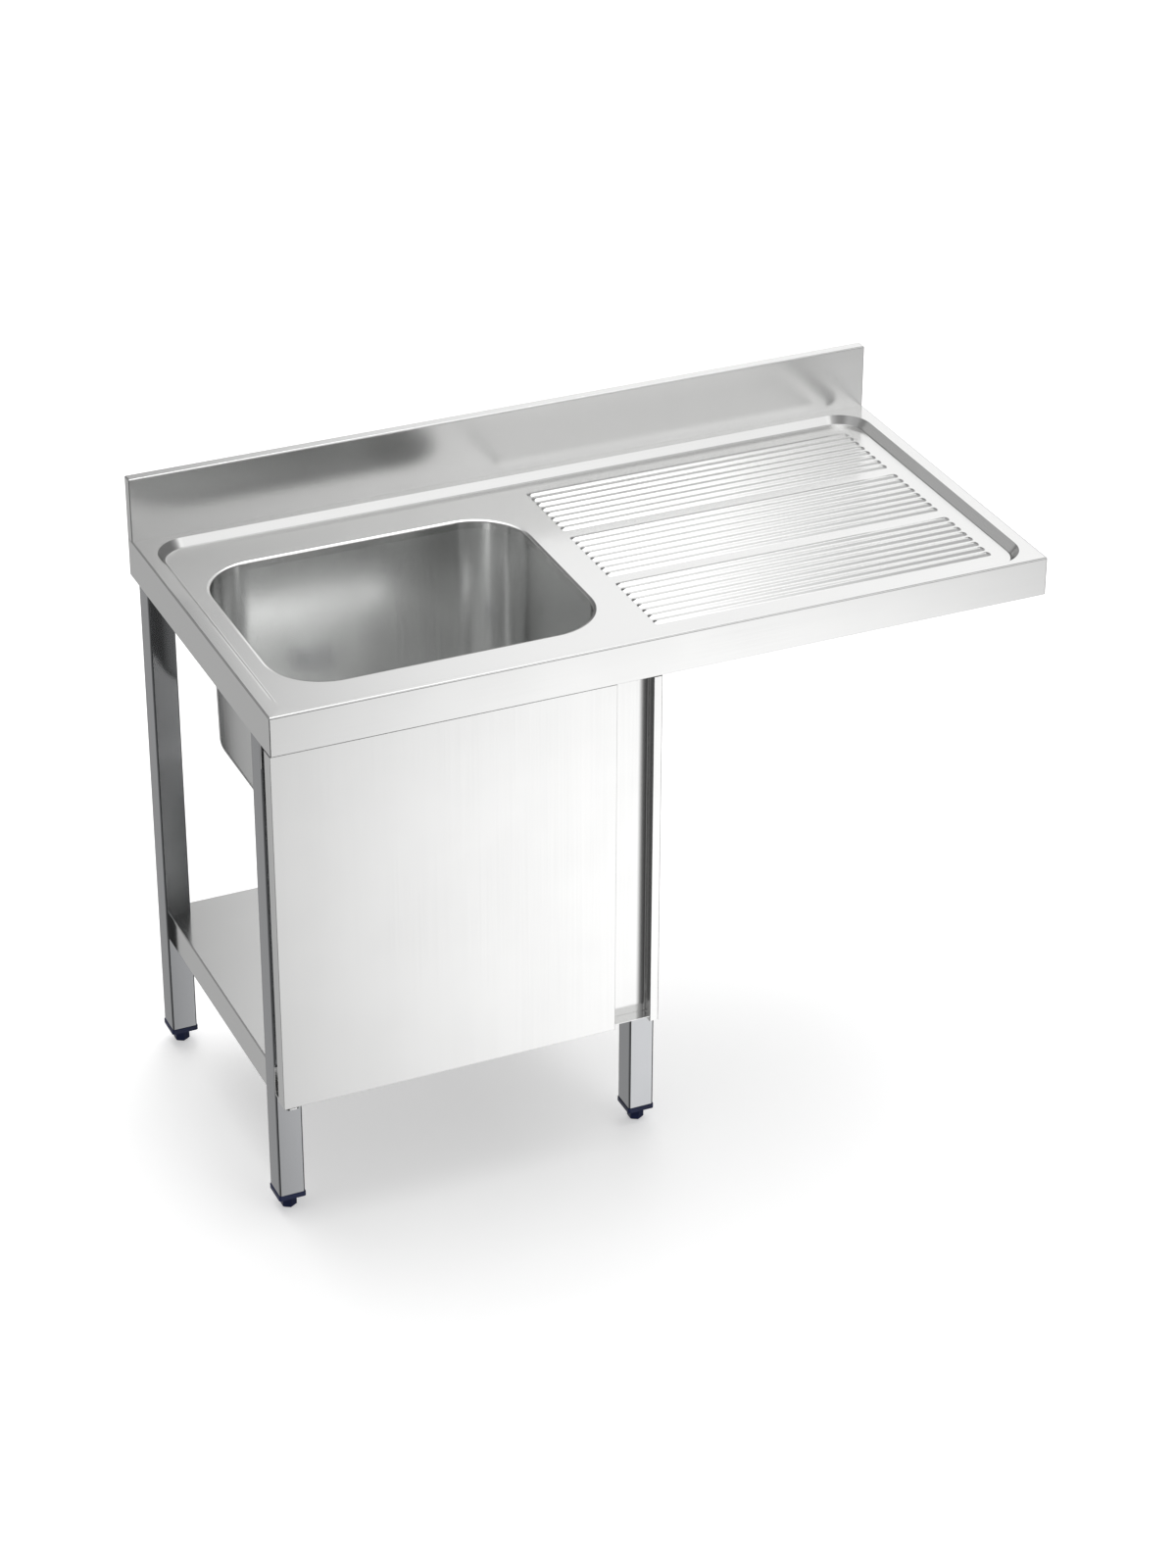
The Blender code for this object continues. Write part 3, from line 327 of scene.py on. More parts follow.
def drop_faces(bm, test):
    """Delete the faces whose middle passes the test."""
    doomed = [face for face in bm.faces if test(face.calc_center_median(), face.normal)]
    bmesh.ops.delete(bm, geom=doomed, context="FACES")


def soften(bm, edges, radius, steps):
    """Round the given edges."""
    bmesh.ops.bevel(bm, geom=edges, offset=radius, segments=steps, affect="EDGES", profile=0.5)


def lathe(bm, profile, place, count, closed=True):
    """Turn a profile of (radius, height), listed up the outer side, about an upright axis."""
    rings = [[point + Vector(place) for point in ring(radius, height, count)] for radius, height in profile]
    loops = loft(bm, rings, closed)
    if not closed:
        bm.faces.new(list(reversed(loops[0])))
        bm.faces.new(loops[-1])
    return loops


def sweep_line(bm, points, run):
    """A folded sheet: a line of points swept along a run."""
    near = [bm.verts.new(point) for point in points]
    far = [bm.verts.new(Vector(point) + Vector(run)) for point in points]
    for here in range(len(points) - 1):
        bm.faces.new((near[here], near[here + 1], far[here + 1], far[here]))


def new_piece(name, bm, material):
    """A piece at the origin from a bmesh drawn in the unit's own frame."""
    mesh = bpy.data.meshes.new(name)
    bm.to_mesh(mesh)
    bm.free()
    mesh.materials.append(material)
    piece = bpy.data.objects.new(name, mesh)
    bpy.context.scene.collection.objects.link(piece)
    return piece


def thicken(piece, wall):
    """Give an open sheet its wall, on the side away from its normals."""
    sheet = piece.modifiers.new("sheet", "SOLIDIFY")
    sheet.thickness = wall
    sheet.offset = -1.0
    sheet.use_even_offset = True
    sheet.use_quality_normals = True


def settle(piece):
    """Turn a piece and its modifiers into one plain mesh."""
    depsgraph = bpy.context.evaluated_depsgraph_get()
    evaluated = piece.evaluated_get(depsgraph)
    mesh = bpy.data.meshes.new_from_object(evaluated, preserve_all_data_layers=True, depsgraph=depsgraph)
    if not mesh.polygons:
        raise RuntimeError(f"{piece.name} came out empty")
    piece.modifiers.clear()
    old = piece.data
    piece.data = mesh
    bpy.data.meshes.remove(old)
    mesh.name = piece.name


def bore_out(piece, radius, depth, places):
    """Drill round holes along Z."""
    cutters = []
    for place in places:
        bm = bmesh.new()
        bmesh.ops.create_cone(bm, cap_ends=True, segments=48, radius1=radius, radius2=radius, depth=depth)
        bmesh.ops.translate(bm, verts=bm.verts, vec=place)
        cutter = new_piece("drill", bm, piece.data.materials[0])
        hole = piece.modifiers.new("hole", "BOOLEAN")
        hole.operation = "DIFFERENCE"
        hole.solver = "EXACT"
        hole.object = cutter
        cutters.append(cutter)
    settle(piece)
    for cutter in cutters:
        bpy.data.meshes.remove(cutter.data)


def smooth_finish(piece, angle=30.0):
    """Settle a piece, keep its creases sharp and let its flats shade flat beside their bends."""
    settle(piece)
    piece.data.shade_smooth()
    piece.data.set_sharp_from_angle(angle=math.radians(angle))
    normals = piece.modifiers.new("normals", "WEIGHTED_NORMAL")
    normals.keep_sharp = True
    settle(piece)


def hand_over(piece, body, slot, *nodes):
    """Let a finished piece ride on its body in place of the frame's own nodes."""
    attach(piece, body)
    if nodes:
        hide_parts(*nodes)


def make(name, bm, material, body, slot, *nodes, wall=0.0, angle=30.0):
    """Make a piece from its bmesh, with a wall if it is an open sheet, finish it and hand it over."""
    piece = new_piece(name, bm, material)
    if wall:
        thicken(piece, wall)
    smooth_finish(piece, angle)
    hand_over(piece, body, slot, *nodes)


# ---------------------------------------------------------------- node helpers

class Board:
    """Lays nodes in a tree and joins them."""

    def __init__(self, tree):
        self.tree = tree

    def node(self, kind, **settings):
        """Lay a node with its settings."""
        made = self.tree.nodes.new(kind)
        for key, value in settings.items():
            setattr(made, key, value)
        return made

    def feed(self, socket, value):
        """Join a socket to another, or set it to a value."""
        if isinstance(value, bpy.types.NodeSocket):
            self.tree.links.new(value, socket)
        elif value is not None:
            socket.default_value = value

    def math(self, operation, first, second=None, third=None, clamp=False):
        """Reckon with up to three values."""
        made = self.node("ShaderNodeMath", operation=operation, use_clamp=clamp)
        for socket, value in zip(made.inputs, (first, second, third)):
            self.feed(socket, value)
        return made.outputs[0]

    def vector(self, operation, first, second=None):
        """Reckon with one or two vectors."""
        made = self.node("ShaderNodeVectorMath", operation=operation)
        self.feed(made.inputs[0], first)
        self.feed(made.inputs[1], second)
        return made.outputs["Value"] if operation == "DOT_PRODUCT" else made.outputs["Vector"]

    def span(self, value, low, high, to_low=0.0, to_high=1.0, kind="LINEAR"):
        """Map one range of values to another."""
        made = self.node("ShaderNodeMapRange", interpolation_type=kind)
        self.feed(made.inputs["Value"], value)
        self.feed(made.inputs["From Min"], low)
        self.feed(made.inputs["From Max"], high)
        self.feed(made.inputs["To Min"], to_low)
        self.feed(made.inputs["To Max"], to_high)
        return made.outputs["Result"]

    def noise(self, vector, scale, detail, roughness=0.5):
        """Cloudy noise between nothing and one."""
        made = self.node("ShaderNodeTexNoise")
        self.feed(made.inputs["Vector"], vector)
        self.feed(made.inputs["Scale"], scale)
        self.feed(made.inputs["Detail"], detail)
        self.feed(made.inputs["Roughness"], roughness)
        return made.outputs["Fac"]

    def tint(self, factor, first, second):
        """Mix two colours."""
        made = self.node("ShaderNodeMix", data_type="RGBA")
        self.feed(made.inputs["Factor"], factor)
        self.feed(made.inputs[6], first)
        self.feed(made.inputs[7], second)
        return made.outputs[2]


def new_group(name, kind, inputs, outputs):
    """A node group with named sockets. Return it with its input and output nodes."""
    tree = bpy.data.node_groups.new(name, kind)
    for label, socket, default in inputs:
        made = tree.interface.new_socket(label, in_out="INPUT", socket_type=socket)
        if default is not None:
            made.default_value = default
    for label, socket in outputs:
        tree.interface.new_socket(label, in_out="OUTPUT", socket_type=socket)
    return tree, tree.nodes.new("NodeGroupInput"), tree.nodes.new("NodeGroupOutput")


def close_tree(board, sink, geometry, finish):
    """End a geometry tree: make its instances real and give them their finish."""
    real = board.node("GeometryNodeRealizeInstances")
    board.feed(real.inputs[0], geometry)
    painted = board.node("GeometryNodeSetMaterial")
    board.feed(painted.inputs["Geometry"], real.outputs[0])
    board.feed(painted.inputs["Material"], finish)
    board.feed(sink.inputs["Geometry"], painted.outputs[0])


def set_round(board, count, radius, item, centre, turn=None):
    """Set copies of an item round a circle, as real geometry."""
    around = board.node("GeometryNodeMeshCircle")
    board.feed(around.inputs["Vertices"], count)
    board.feed(around.inputs["Radius"], radius)
    put = board.node("GeometryNodeInstanceOnPoints")
    board.feed(put.inputs["Points"], around.outputs["Mesh"])
    board.feed(put.inputs["Instance"], item)
    board.feed(put.inputs["Rotation"], turn)
    moved = board.node("GeometryNodeTransform")
    board.feed(moved.inputs["Geometry"], put.outputs[0])
    board.feed(moved.inputs["Translation"], centre)
    real = board.node("GeometryNodeRealizeInstances")
    board.feed(real.inputs[0], moved.outputs[0])
    return real.outputs[0]


def run_tree(piece, tree, values):
    """Run a geometry tree on a piece with its inputs set, and keep the result as a plain mesh."""
    modifier = piece.modifiers.new(tree.name, "NODES")
    modifier.node_group = tree
    for item in tree.interface.items_tree:
        if item.in_out == "INPUT" and item.name in values:
            modifier[item.identifier] = values[item.name]
    settle(piece)


# ---------------------------------------------------------------- finishes

def grain_group():
    """Streaks and fine lines of brushed sheet, running along X."""
    found = bpy.data.node_groups.get("brushed_grain")
    if found:
        return found
    tree, source, sink = new_group("brushed_grain", "ShaderNodeTree", (
        ("Vector", "NodeSocketVector", None),
        ("Along", "NodeSocketFloat", 3.0),
        ("Across", "NodeSocketFloat", 420.0),
    ), (("Streaks", "NodeSocketFloat"), ("Lines", "NodeSocketFloat")))
    board = Board(tree)
    stretch = board.node("ShaderNodeCombineXYZ")
    board.feed(stretch.inputs[0], source.outputs["Along"])
    board.feed(stretch.inputs[1], source.outputs["Across"])
    board.feed(stretch.inputs[2], source.outputs["Across"])
    drawn = board.vector("MULTIPLY", source.outputs["Vector"], stretch.outputs[0])
    board.feed(sink.inputs["Streaks"], board.noise(drawn, 1.0, 3.0, 0.6))
    finer = (3.1, 4.3, 4.3)
    board.feed(sink.inputs["Lines"], board.noise(board.vector("MULTIPLY", drawn, finer), 1.0, 2.0))
    return tree


def handling_group():
    """Broad clouding that wiping and handling leave on a surface."""
    found = bpy.data.node_groups.get("handling_clouds")
    if found:
        return found
    tree, source, sink = new_group("handling_clouds", "ShaderNodeTree", (
        ("Vector", "NodeSocketVector", None),
        ("Size", "NodeSocketFloat", 7.0),
    ), (("Clouds", "NodeSocketFloat"), ("Specks", "NodeSocketFloat")))
    board = Board(tree)
    given = source.outputs
    specks_to_a_cloud = 90.0
    broad = board.noise(given["Vector"], given["Size"], 3.0, 0.55)
    board.feed(sink.inputs["Clouds"], board.span(broad, 0.3, 0.7, kind="SMOOTHSTEP"))
    fine = board.noise(given["Vector"], board.math("MULTIPLY", given["Size"], specks_to_a_cloud), 2.0, 0.6)
    board.feed(sink.inputs["Specks"], fine)
    return tree


def place_group(board, tree, vector, **values):
    """Put a node group into a material."""
    made = board.node("ShaderNodeGroup")
    made.node_tree = tree
    board.feed(made.inputs["Vector"], vector)
    for name, value in values.items():
        made.inputs[name].default_value = value
    return made.outputs


def new_finish(name):
    """A material with the nodes that every finish starts from."""
    material = bpy.data.materials.new(name)
    material.use_nodes = True
    board = Board(material.node_tree)
    shader = material.node_tree.nodes["Principled BSDF"]
    coords = board.node("ShaderNodeTexCoord").outputs["Object"]
    return material, board, shader, coords


def shade(tone, factor):
    """A colour made lighter or darker, with its alpha."""
    return (*(min(1.0, part * factor) for part in tone), 1.0)


def steel(name, tone, roughness, turn=(0, 0, 0), along=3.0, across=420.0, contrast=0.008, spread=0.010,
          lines=0.000002):
    """Steel sheet or tube with its grain, clouding and fine scratch relief."""
    found = bpy.data.materials.get(name)
    if found:
        return found
    material, board, shader, coords = new_finish(name)
    turned = board.node("ShaderNodeMapping")
    turned.inputs["Rotation"].default_value = turn
    board.feed(turned.inputs["Vector"], coords)
    grain = place_group(board, grain_group(), turned.outputs[0], Along=along, Across=across)
    handling = place_group(board, handling_group(), coords, Size=7.0)
    board.feed(shader.inputs["Base Color"],
               board.tint(grain["Streaks"], shade(tone, 1 - contrast), shade(tone, 1 + contrast)))
    streaked = board.span(grain["Streaks"], 0.25, 0.75, roughness - spread, roughness + spread)
    clouded = board.span(handling["Clouds"], 0.0, 1.0, -spread * 0.5, spread * 0.5)
    board.feed(shader.inputs["Roughness"], board.math("ADD", streaked, clouded, clamp=True))
    shader.inputs["Metallic"].default_value = 1.0
    relief = board.node("ShaderNodeBump")
    relief.inputs["Strength"].default_value = 1.0
    relief.inputs["Distance"].default_value = lines
    board.feed(relief.inputs["Height"], grain["Lines"])
    board.feed(shader.inputs["Normal"], relief.outputs[0])
    return material


def moulded(name, tone, roughness, texture=0.00004, contrast=0.15, spread=0.08):
    """Moulded plastic or rubber with a fine spark-eroded texture and handling marks."""
    found = bpy.data.materials.get(name)
    if found:
        return found
    material, board, shader, coords = new_finish(name)
    handling = place_group(board, handling_group(), coords, Size=22.0)
    board.feed(shader.inputs["Base Color"],
               board.tint(handling["Clouds"], shade(tone, 1 - contrast), shade(tone, 1 + contrast)))
    board.feed(shader.inputs["Roughness"],
               board.span(handling["Specks"], 0.2, 0.8, roughness - spread, roughness + spread))
    relief = board.node("ShaderNodeBump")
    relief.inputs["Strength"].default_value = 0.6
    relief.inputs["Distance"].default_value = texture
    board.feed(relief.inputs["Height"], handling["Specks"])
    board.feed(shader.inputs["Normal"], relief.outputs[0])
    return material


def brushed_along():
    """Brushed sheet with its grain along X."""
    tones = sizes("finishes")
    return steel("brushed_steel_along", tones.brushed, tones.brushed_roughness)


def brushed_upstand():
    """The upstand's sheet, with its grain along X."""
    tones = sizes("finishes")
    return steel("brushed_steel_upstand", tones.brushed, tones.upstand_roughness)


def brushed_upright():
    """Brushed sheet with its grain upright."""
    tones = sizes("finishes")
    return steel("brushed_steel_upright", tones.brushed, tones.brushed_roughness, turn=UPRIGHT)


def brushed_deep():
    """Brushed sheet with its grain from front to back."""
    tones = sizes("finishes")
    return steel("brushed_steel_front_to_back", tones.brushed, tones.brushed_roughness, turn=FRONT_TO_BACK)


def drawn_steel():
    """The drawn bowl, with coarser upright grain."""
    tones = sizes("finishes")
    return steel("drawn_steel", tones.bowl, tones.bowl_roughness, turn=UPRIGHT, along=5.0, across=160.0,
                 contrast=0.015, spread=0.025, lines=0.000004)


def polished_steel():
    """Bright polished tube and waste."""
    tones = sizes("finishes")
    return steel("polished_steel", tones.polished, tones.polished_roughness, turn=UPRIGHT, along=2.0,
                 contrast=0.015, spread=0.025)


def zinc_plate():
    """Zinc plated small pieces, without a grain."""
    return steel("zinc_plate_finish", sizes("finishes").zinc, 0.38, along=220.0, across=220.0, contrast=0.06,
                 spread=0.06)


def navy_plastic():
    """Caps and feet."""
    return moulded("navy_moulding", sizes("finishes").navy, 0.42)


def pale_plastic():
    """Bushes, catch and ring nut."""
    return moulded("pale_grey_moulding", sizes("finishes").pale, 0.50)


def black_rubber():
    """Gasket."""
    return moulded("black_rubber_moulding", sizes("finishes").rubber, 0.72, texture=0.00008)


# ---------------------------------------------------------------- the pressed top

# A bead's section, in shares of its height and its half width: how softly it leaves the deck, where its crest
# is cut off and how softly, and where the mesh has its lines.
BEAD_FOOT = 0.12
BEAD_CREST = 0.90
BEAD_CROWN = 0.14
BEAD_LINES = (0.08, 0.15, 0.22, 0.30, 0.60, 0.86, 0.93, 1.0, 1.07, 1.14)


def drainer_tree():
    """Press rows of round-ended beads into a flat field."""
    tree, source, sink = new_group("drainer_press", "GeometryNodeTree", (
        ("Geometry", "NodeSocketGeometry", None),
        ("Middle", "NodeSocketFloat", 0.272),
        ("Half length", "NodeSocketFloat", 0.271),
        ("First bead", "NodeSocketFloat", -0.233),
        ("Pitch", "NodeSocketFloat", 0.018),
        ("Half width", "NodeSocketFloat", 0.00725),
        ("Height", "NodeSocketFloat", 0.0022),
        ("Beads to a strip", "NodeSocketInt", 9),
        ("Finish", "NodeSocketMaterial", None),
    ), (("Geometry", "NodeSocketGeometry"),))
    board = Board(tree)
    given = source.outputs
    place = board.node("ShaderNodeSeparateXYZ")
    board.feed(place.inputs[0], board.node("GeometryNodeInputPosition").outputs[0])
    row = board.math("DIVIDE", board.math("SUBTRACT", place.outputs[1], given["First bead"]), given["Pitch"])
    whole = board.math("ROUND", row)
    beside = board.math("MULTIPLY", board.math("SUBTRACT", row, whole), given["Pitch"])
    off_middle = board.math("ABSOLUTE", board.math("SUBTRACT", place.outputs[0], given["Middle"]))
    straight = board.math("SUBTRACT", given["Half length"], given["Half width"])
    beyond = board.math("MAXIMUM", board.math("SUBTRACT", off_middle, straight), 0.0)
    square = board.math("ADD", board.math("MULTIPLY", beside, beside), board.math("MULTIPLY", beyond, beyond))
    off_crest = board.math("DIVIDE", board.math("SQRT", square), given["Half width"])
    slope = board.math("SMOOTH_MAX", board.math("SUBTRACT", 1.0, off_crest), 0.0, BEAD_FOOT)
    crown = board.math("SMOOTH_MIN", slope, BEAD_CREST, BEAD_CROWN)
    count = board.math("MODULO", board.math("ADD", whole, 1.0), given["Beads to a strip"])
    pressed = board.math("GREATER_THAN", count, 0.5)
    rise = board.math("MULTIPLY", board.math("MULTIPLY", crown, pressed), given["Height"])
    lift = board.node("ShaderNodeCombineXYZ")
    board.feed(lift.inputs[2], rise)
    move = board.node("GeometryNodeSetPosition")
    board.feed(move.inputs["Geometry"], given["Geometry"])
    board.feed(move.inputs["Offset"], lift.outputs[0])
    close_tree(board, sink, move.outputs[0], given["Finish"])
    return tree


def drainer_field(floor):
    """The beaded field as a mesh, with the order of the vertices round its edge."""
    bead = sizes("drainer")
    half = bead.width / 2
    margin = 0.003
    end_lines, middle_lines = 12, 8
    ends = [half * 1.05 * step / end_lines for step in range(end_lines + 1)]
    left = [bead.left - margin] + [bead.left + step for step in ends]
    right = [bead.right - step for step in reversed(ends)] + [bead.right + margin]
    middle = [left[-1] + (right[0] - left[-1]) * step / middle_lines for step in range(1, middle_lines)]
    across = left + middle + right
    rows = bead.groups * (bead.in_group + 1) - 1
    side = [half * part for part in BEAD_LINES] + [bead.pitch / 2]
    beside = [-part for part in reversed(side[:-1])] + [0.0] + side
    down = [bead.first - bead.pitch / 2]
    down += [bead.first + bead.pitch * row + part for row in range(rows) for part in beside]
    bm = bmesh.new()
    grid = [[bm.verts.new((x, y, floor)) for y in down] for x in across]
    for here in range(len(across) - 1):
        for row in range(len(down) - 1):
            bm.faces.new((grid[here][row], grid[here + 1][row], grid[here + 1][row + 1], grid[here][row + 1]))
    field = new_piece("drainer_field", bm, brushed_along())
    run_tree(field, drainer_tree(), {
        "Middle": (bead.left + bead.right) / 2,
        "Half length": (bead.right - bead.left) / 2,
        "First bead": bead.first,
        "Pitch": bead.pitch,
        "Half width": half,
        "Height": bead.height,
        "Beads to a strip": bead.in_group + 1,
        "Finish": brushed_along(),
    })
    last_x, last_y = len(across) - 1, len(down) - 1
    edge = [(x, 0) for x in range(last_x)] + [(last_x, y) for y in range(last_y)]
    edge += [(x, last_y) for x in range(last_x, 0, -1)] + [(0, y) for y in range(last_y, 0, -1)]
    return field, [x * len(down) + y for x, y in edge]


CORNER_STEPS = 22  # of the bowl's round corners


def bowl_outline(inset, z):
    """The bowl's inner outline, drawn in by an inset."""
    bowl = sizes("bowl")
    return rounded_rectangle(
        BOWL_LOW.x + bowl.sheet + inset, BOWL_HIGH.x - bowl.sheet - inset,
        BOWL_LOW.y + bowl.sheet + inset, BOWL_HIGH.y - bowl.sheet - inset,
        bowl.radius - inset, z, CORNER_STEPS)


class SINKUNIT_OT_worktop(bpy.types.Operator):
    """Press the top from one sheet: apron with hem, rim, recess, drainer beads and bowl lip"""
    bl_idname = "sinkunit.worktop"
    bl_label = "Worktop"

    def execute(self, context):
        top = sizes("top")
        bm = bmesh.new()
        steps = [(top.hem, TOP_LOW.z)]
        for angle in quarter(4):
            steps.append((top.hem_bend * (1 - math.sin(angle)), TOP_LOW.z + top.hem_bend * (1 - math.cos(angle))))
        steps += bend_over(top.edge_bend, TOP_HIGH.z)
        apron = loft(bm, [edge_ring(TOP_LOW, TOP_HIGH, inset, top.corner, z) for inset, z in steps])
        flat = 0.006
        slope = round_corners([(-flat, 0), (0, 0), (top.recess_wall, top.recess_depth),
                               (top.recess_wall + flat, top.recess_depth)],
                              [0, top.recess_edge, top.recess_foot, 0], 7)
        recess = loft(bm, [rounded_rectangle(
            TOP_LOW.x + top.side_rim + inset, TOP_HIGH.x - top.side_rim - inset,
            TOP_LOW.y + top.front_rim + inset, TOP_HIGH.y - top.back_rim - inset,
            top.recess_radius - inset, TOP_HIGH.z - drop, 16) for inset, drop in slope[1:-1]])
        floor = TOP_HIGH.z - top.recess_depth
        ring_edge = 0.0010
        ring_line = round_corners([(-top.lip_ring - flat, 0), (-top.lip_ring, 0), (0, top.lip_fall),
                                   (0, top.lip_drop)], [0, ring_edge, top.lip_radius, 0], 7)
        lip = loft(bm, [bowl_outline(inset, floor - drop) for inset, drop in ring_line[1:]])
        field, edge = drainer_field(floor)
        before = len(bm.verts)
        bm.from_mesh(field.data)
        bm.verts.ensure_lookup_table()
        field_loop = [bm.verts[before + index] for index in edge]
        bpy.data.meshes.remove(field.data)
        fill_flat(bm, [apron[-1], recess[0]])
        fill_flat(bm, [recess[-1], lip[0], field_loop])
        make("worktop_pressing", bm, brushed_along(), UNIT, "brushed_stainless", "worktop", wall=top.sheet)
        return {"FINISHED"}


class SINKUNIT_OT_splashback(bpy.types.Operator):
    """Fold the upstand with its closed ends and the lip down its back"""
    bl_idname = "sinkunit.splashback"
    bl_label = "Splashback"

    def execute(self, context):
        top = sizes("top")
        off_deck = 0.00002
        steps = [(0, TOP_HIGH.z + off_deck)] + bend_over(top.edge_bend, UPSTAND_HIGH.z)
        bm = bmesh.new()
        loops = loft(bm, [edge_ring(UPSTAND_LOW, UPSTAND_HIGH, inset, top.corner, z) for inset, z in steps])
        bm.faces.new(loops[-1])
        lip_bottom = UPSTAND_HIGH.z - top.rear_lip
        slice_at(bm, (0, 0, lip_bottom), (0, 0, 1))
        drop_faces(bm, lambda middle, normal: normal.y > 0.99 and middle.z < lip_bottom)
        make("splashback_fold", bm, brushed_upstand(), UNIT, "brushed_stainless", "splashback", wall=top.sheet)
        return {"FINISHED"}


class SINKUNIT_OT_bowl(bpy.types.Operator):
    """Draw the bowl with its soft corners, falling floor and sunk waste seat"""
    bl_idname = "sinkunit.bowl"
    bl_label = "Bowl"

    def execute(self, context):
        bowl, top = sizes("bowl"), sizes("top")
        deck = TOP_HIGH.z - top.recess_depth
        rim = deck - top.lip_drop
        floor = deck - bowl.depth
        wall_bottom = floor + bowl.fillet
        x = (BOWL_LOW.x + BOWL_HIGH.x) / 2
        y = (BOWL_LOW.y + BOWL_HIGH.y) / 2
        rows = 8
        rings = []
        for step in range(rows + 1):
            z = rim + (wall_bottom - rim) * step / rows
            rings.append(bowl_outline((rim - z) * bowl.draft, z))
        lean = (rim - wall_bottom) * bowl.draft
        for angle in quarter(14)[1:]:
            rings.append(bowl_outline(lean + bowl.fillet * (1 - math.cos(angle)),
                                      wall_bottom - bowl.fillet * math.sin(angle)))
        seat_edge = floor - bowl.fall
        outer = rings[-1]
        inner = circle(x, y, bowl.seat_radius + bowl.seat_depth, seat_edge, CORNER_STEPS)
        for step in range(1, rows):
            rings.append([here.lerp(there, step / rows) for here, there in zip(outer, inner)])
        seat = [(bowl.seat_radius + bowl.seat_depth, seat_edge), (bowl.seat_radius, seat_edge - bowl.seat_depth),
                (bowl.hole_radius, seat_edge - bowl.seat_depth)]
        seat_bend = 0.003
        for radius, z in round_corners(seat, [0, seat_bend, 0], 4):
            rings.append(circle(x, y, radius, z, CORNER_STEPS))
        bm = bmesh.new()
        loft(bm, rings)
        make("bowl_drawing", bm, drawn_steel(), UNIT, "drawn_stainless", "bowl", wall=bowl.sheet, angle=40.0)
        return {"FINISHED"}


# ---------------------------------------------------------------- legs, rails and shelf

class SINKUNIT_OT_legs(bpy.types.Operator):
    """Cut the four polished square tube legs"""
    bl_idname = "sinkunit.legs"
    bl_label = "Legs"

    def execute(self, context):
        size = sizes("frame")
        for corner in CORNERS:
            low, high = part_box(f"{corner}_leg")
            bm = bmesh.new()
            loft(bm, [rounded_rectangle(low.x, high.x, low.y, high.y, size.leg_corner, z, 6)
                      for z in (low.z, high.z)])
            make(f"{corner}_leg_tube", bm, polished_steel(), UNIT, "polished_stainless", f"{corner}_leg",
                 wall=size.leg_wall, angle=35.0)
        return {"FINISHED"}


class SINKUNIT_OT_leg_caps(bpy.types.Operator):
    """Mould the four caps that are pressed into the legs"""
    bl_idname = "sinkunit.leg_caps"
    bl_label = "Leg caps"

    def execute(self, context):
        size = sizes("frame")
        for corner in CORNERS:
            low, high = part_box(f"{corner}_leg_cap")
            leg_low, leg_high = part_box(f"{corner}_leg")
            x, y = (low.x + high.x) / 2, (low.y + high.y) / 2
            rim = (high.x - low.x) / 2
            plug = (leg_high.x - leg_low.x) / 2 - size.leg_wall - PIN_FIT
            shoulder = low.z + size.cap_rim
            bore = size.stem_radius + BORE_FIT
            edge = size.cap_edge
            under = rim - 0.006
            outline = round_corners(
                [(under, low.z), (rim, low.z), (rim, shoulder), (plug, shoulder), (plug, high.z)],
                [0, edge, edge * 0.6, 0, 0], 4)
            rings = [circle(x, y, bore, low.z, 6)]
            for half, z in outline:
                radius = max(0.0012, size.leg_corner - (rim - half) * 0.4)
                rings.append(rounded_rectangle(x - half, x + half, y - half, y + half, radius, z, 6))
            rings.append(circle(x, y, bore, high.z, 6))
            bm = bmesh.new()
            loft(bm, rings, closed=True)
            make(f"{corner}_cap_moulding", bm, navy_plastic(), UNIT, "navy_plastic", f"{corner}_leg_cap", angle=35.0)
        return {"FINISHED"}


class SINKUNIT_OT_feet(bpy.types.Operator):
    """Mould the four screw feet with their threaded stems"""
    bl_idname = "sinkunit.feet"
    bl_label = "Screw feet"

    def execute(self, context):
        size = sizes("frame")
        for corner in CORNERS:
            low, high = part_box(f"{corner}_foot")
            place = Vector(((low.x + high.x) / 2, (low.y + high.y) / 2, 0))
            half = (high.x - low.x) / 2
            bm = bmesh.new()
            self.hexagon_nub(bm, half, low.z, size, place)
            self.stem(bm, low.z + size.foot_height, high.z, size, place)
            make(f"{corner}_foot_moulding", bm, navy_plastic(), f"{corner}_foot_body", "navy_plastic",
                 f"{corner}_foot", angle=28.0)
        return {"FINISHED"}

    def hexagon_nub(self, bm, half, z, size, place):
        """A hexagon with a chamfered base and softened edges."""
        count = 12
        top_land, worn = 0.003, 0.985
        outline = round_corners(
            [(half - size.foot_chamfer, z), (half, z + size.foot_chamfer), (half, z + size.foot_height),
             (half - top_land, z + size.foot_height)], [0, 0.001, 0.0008, 0], 3)
        rings = []
        for flats, height in outline:
            points = []
            for step in range(count):
                angle = math.tau * step / count
                reach = flats if step % 2 == 0 else flats / math.cos(math.pi / 6) * worn
                points.append(place + Vector((reach * math.cos(angle), reach * math.sin(angle), height)))
            rings.append(points)
        loops = loft(bm, rings)
        bm.faces.new(list(reversed(loops[0])))
        bm.faces.new(loops[-1])

    def stem(self, bm, low, high, size, place):
        """A screwed stem with its thread as close rings."""
        pitch, thread, land, chamfer = 0.0015, 0.0006, 0.001, 0.0008
        root = size.stem_radius - thread
        profile = [(root, low - land)]
        z = low + pitch
        while z + pitch < high - land:
            profile += [(root, z), (size.stem_radius, z + pitch * 0.4), (size.stem_radius, z + pitch * 0.6)]
            z += pitch
        profile += [(root, z), (root, high - chamfer), (root - chamfer, high)]
        lathe(bm, profile, place, 16, closed=False)


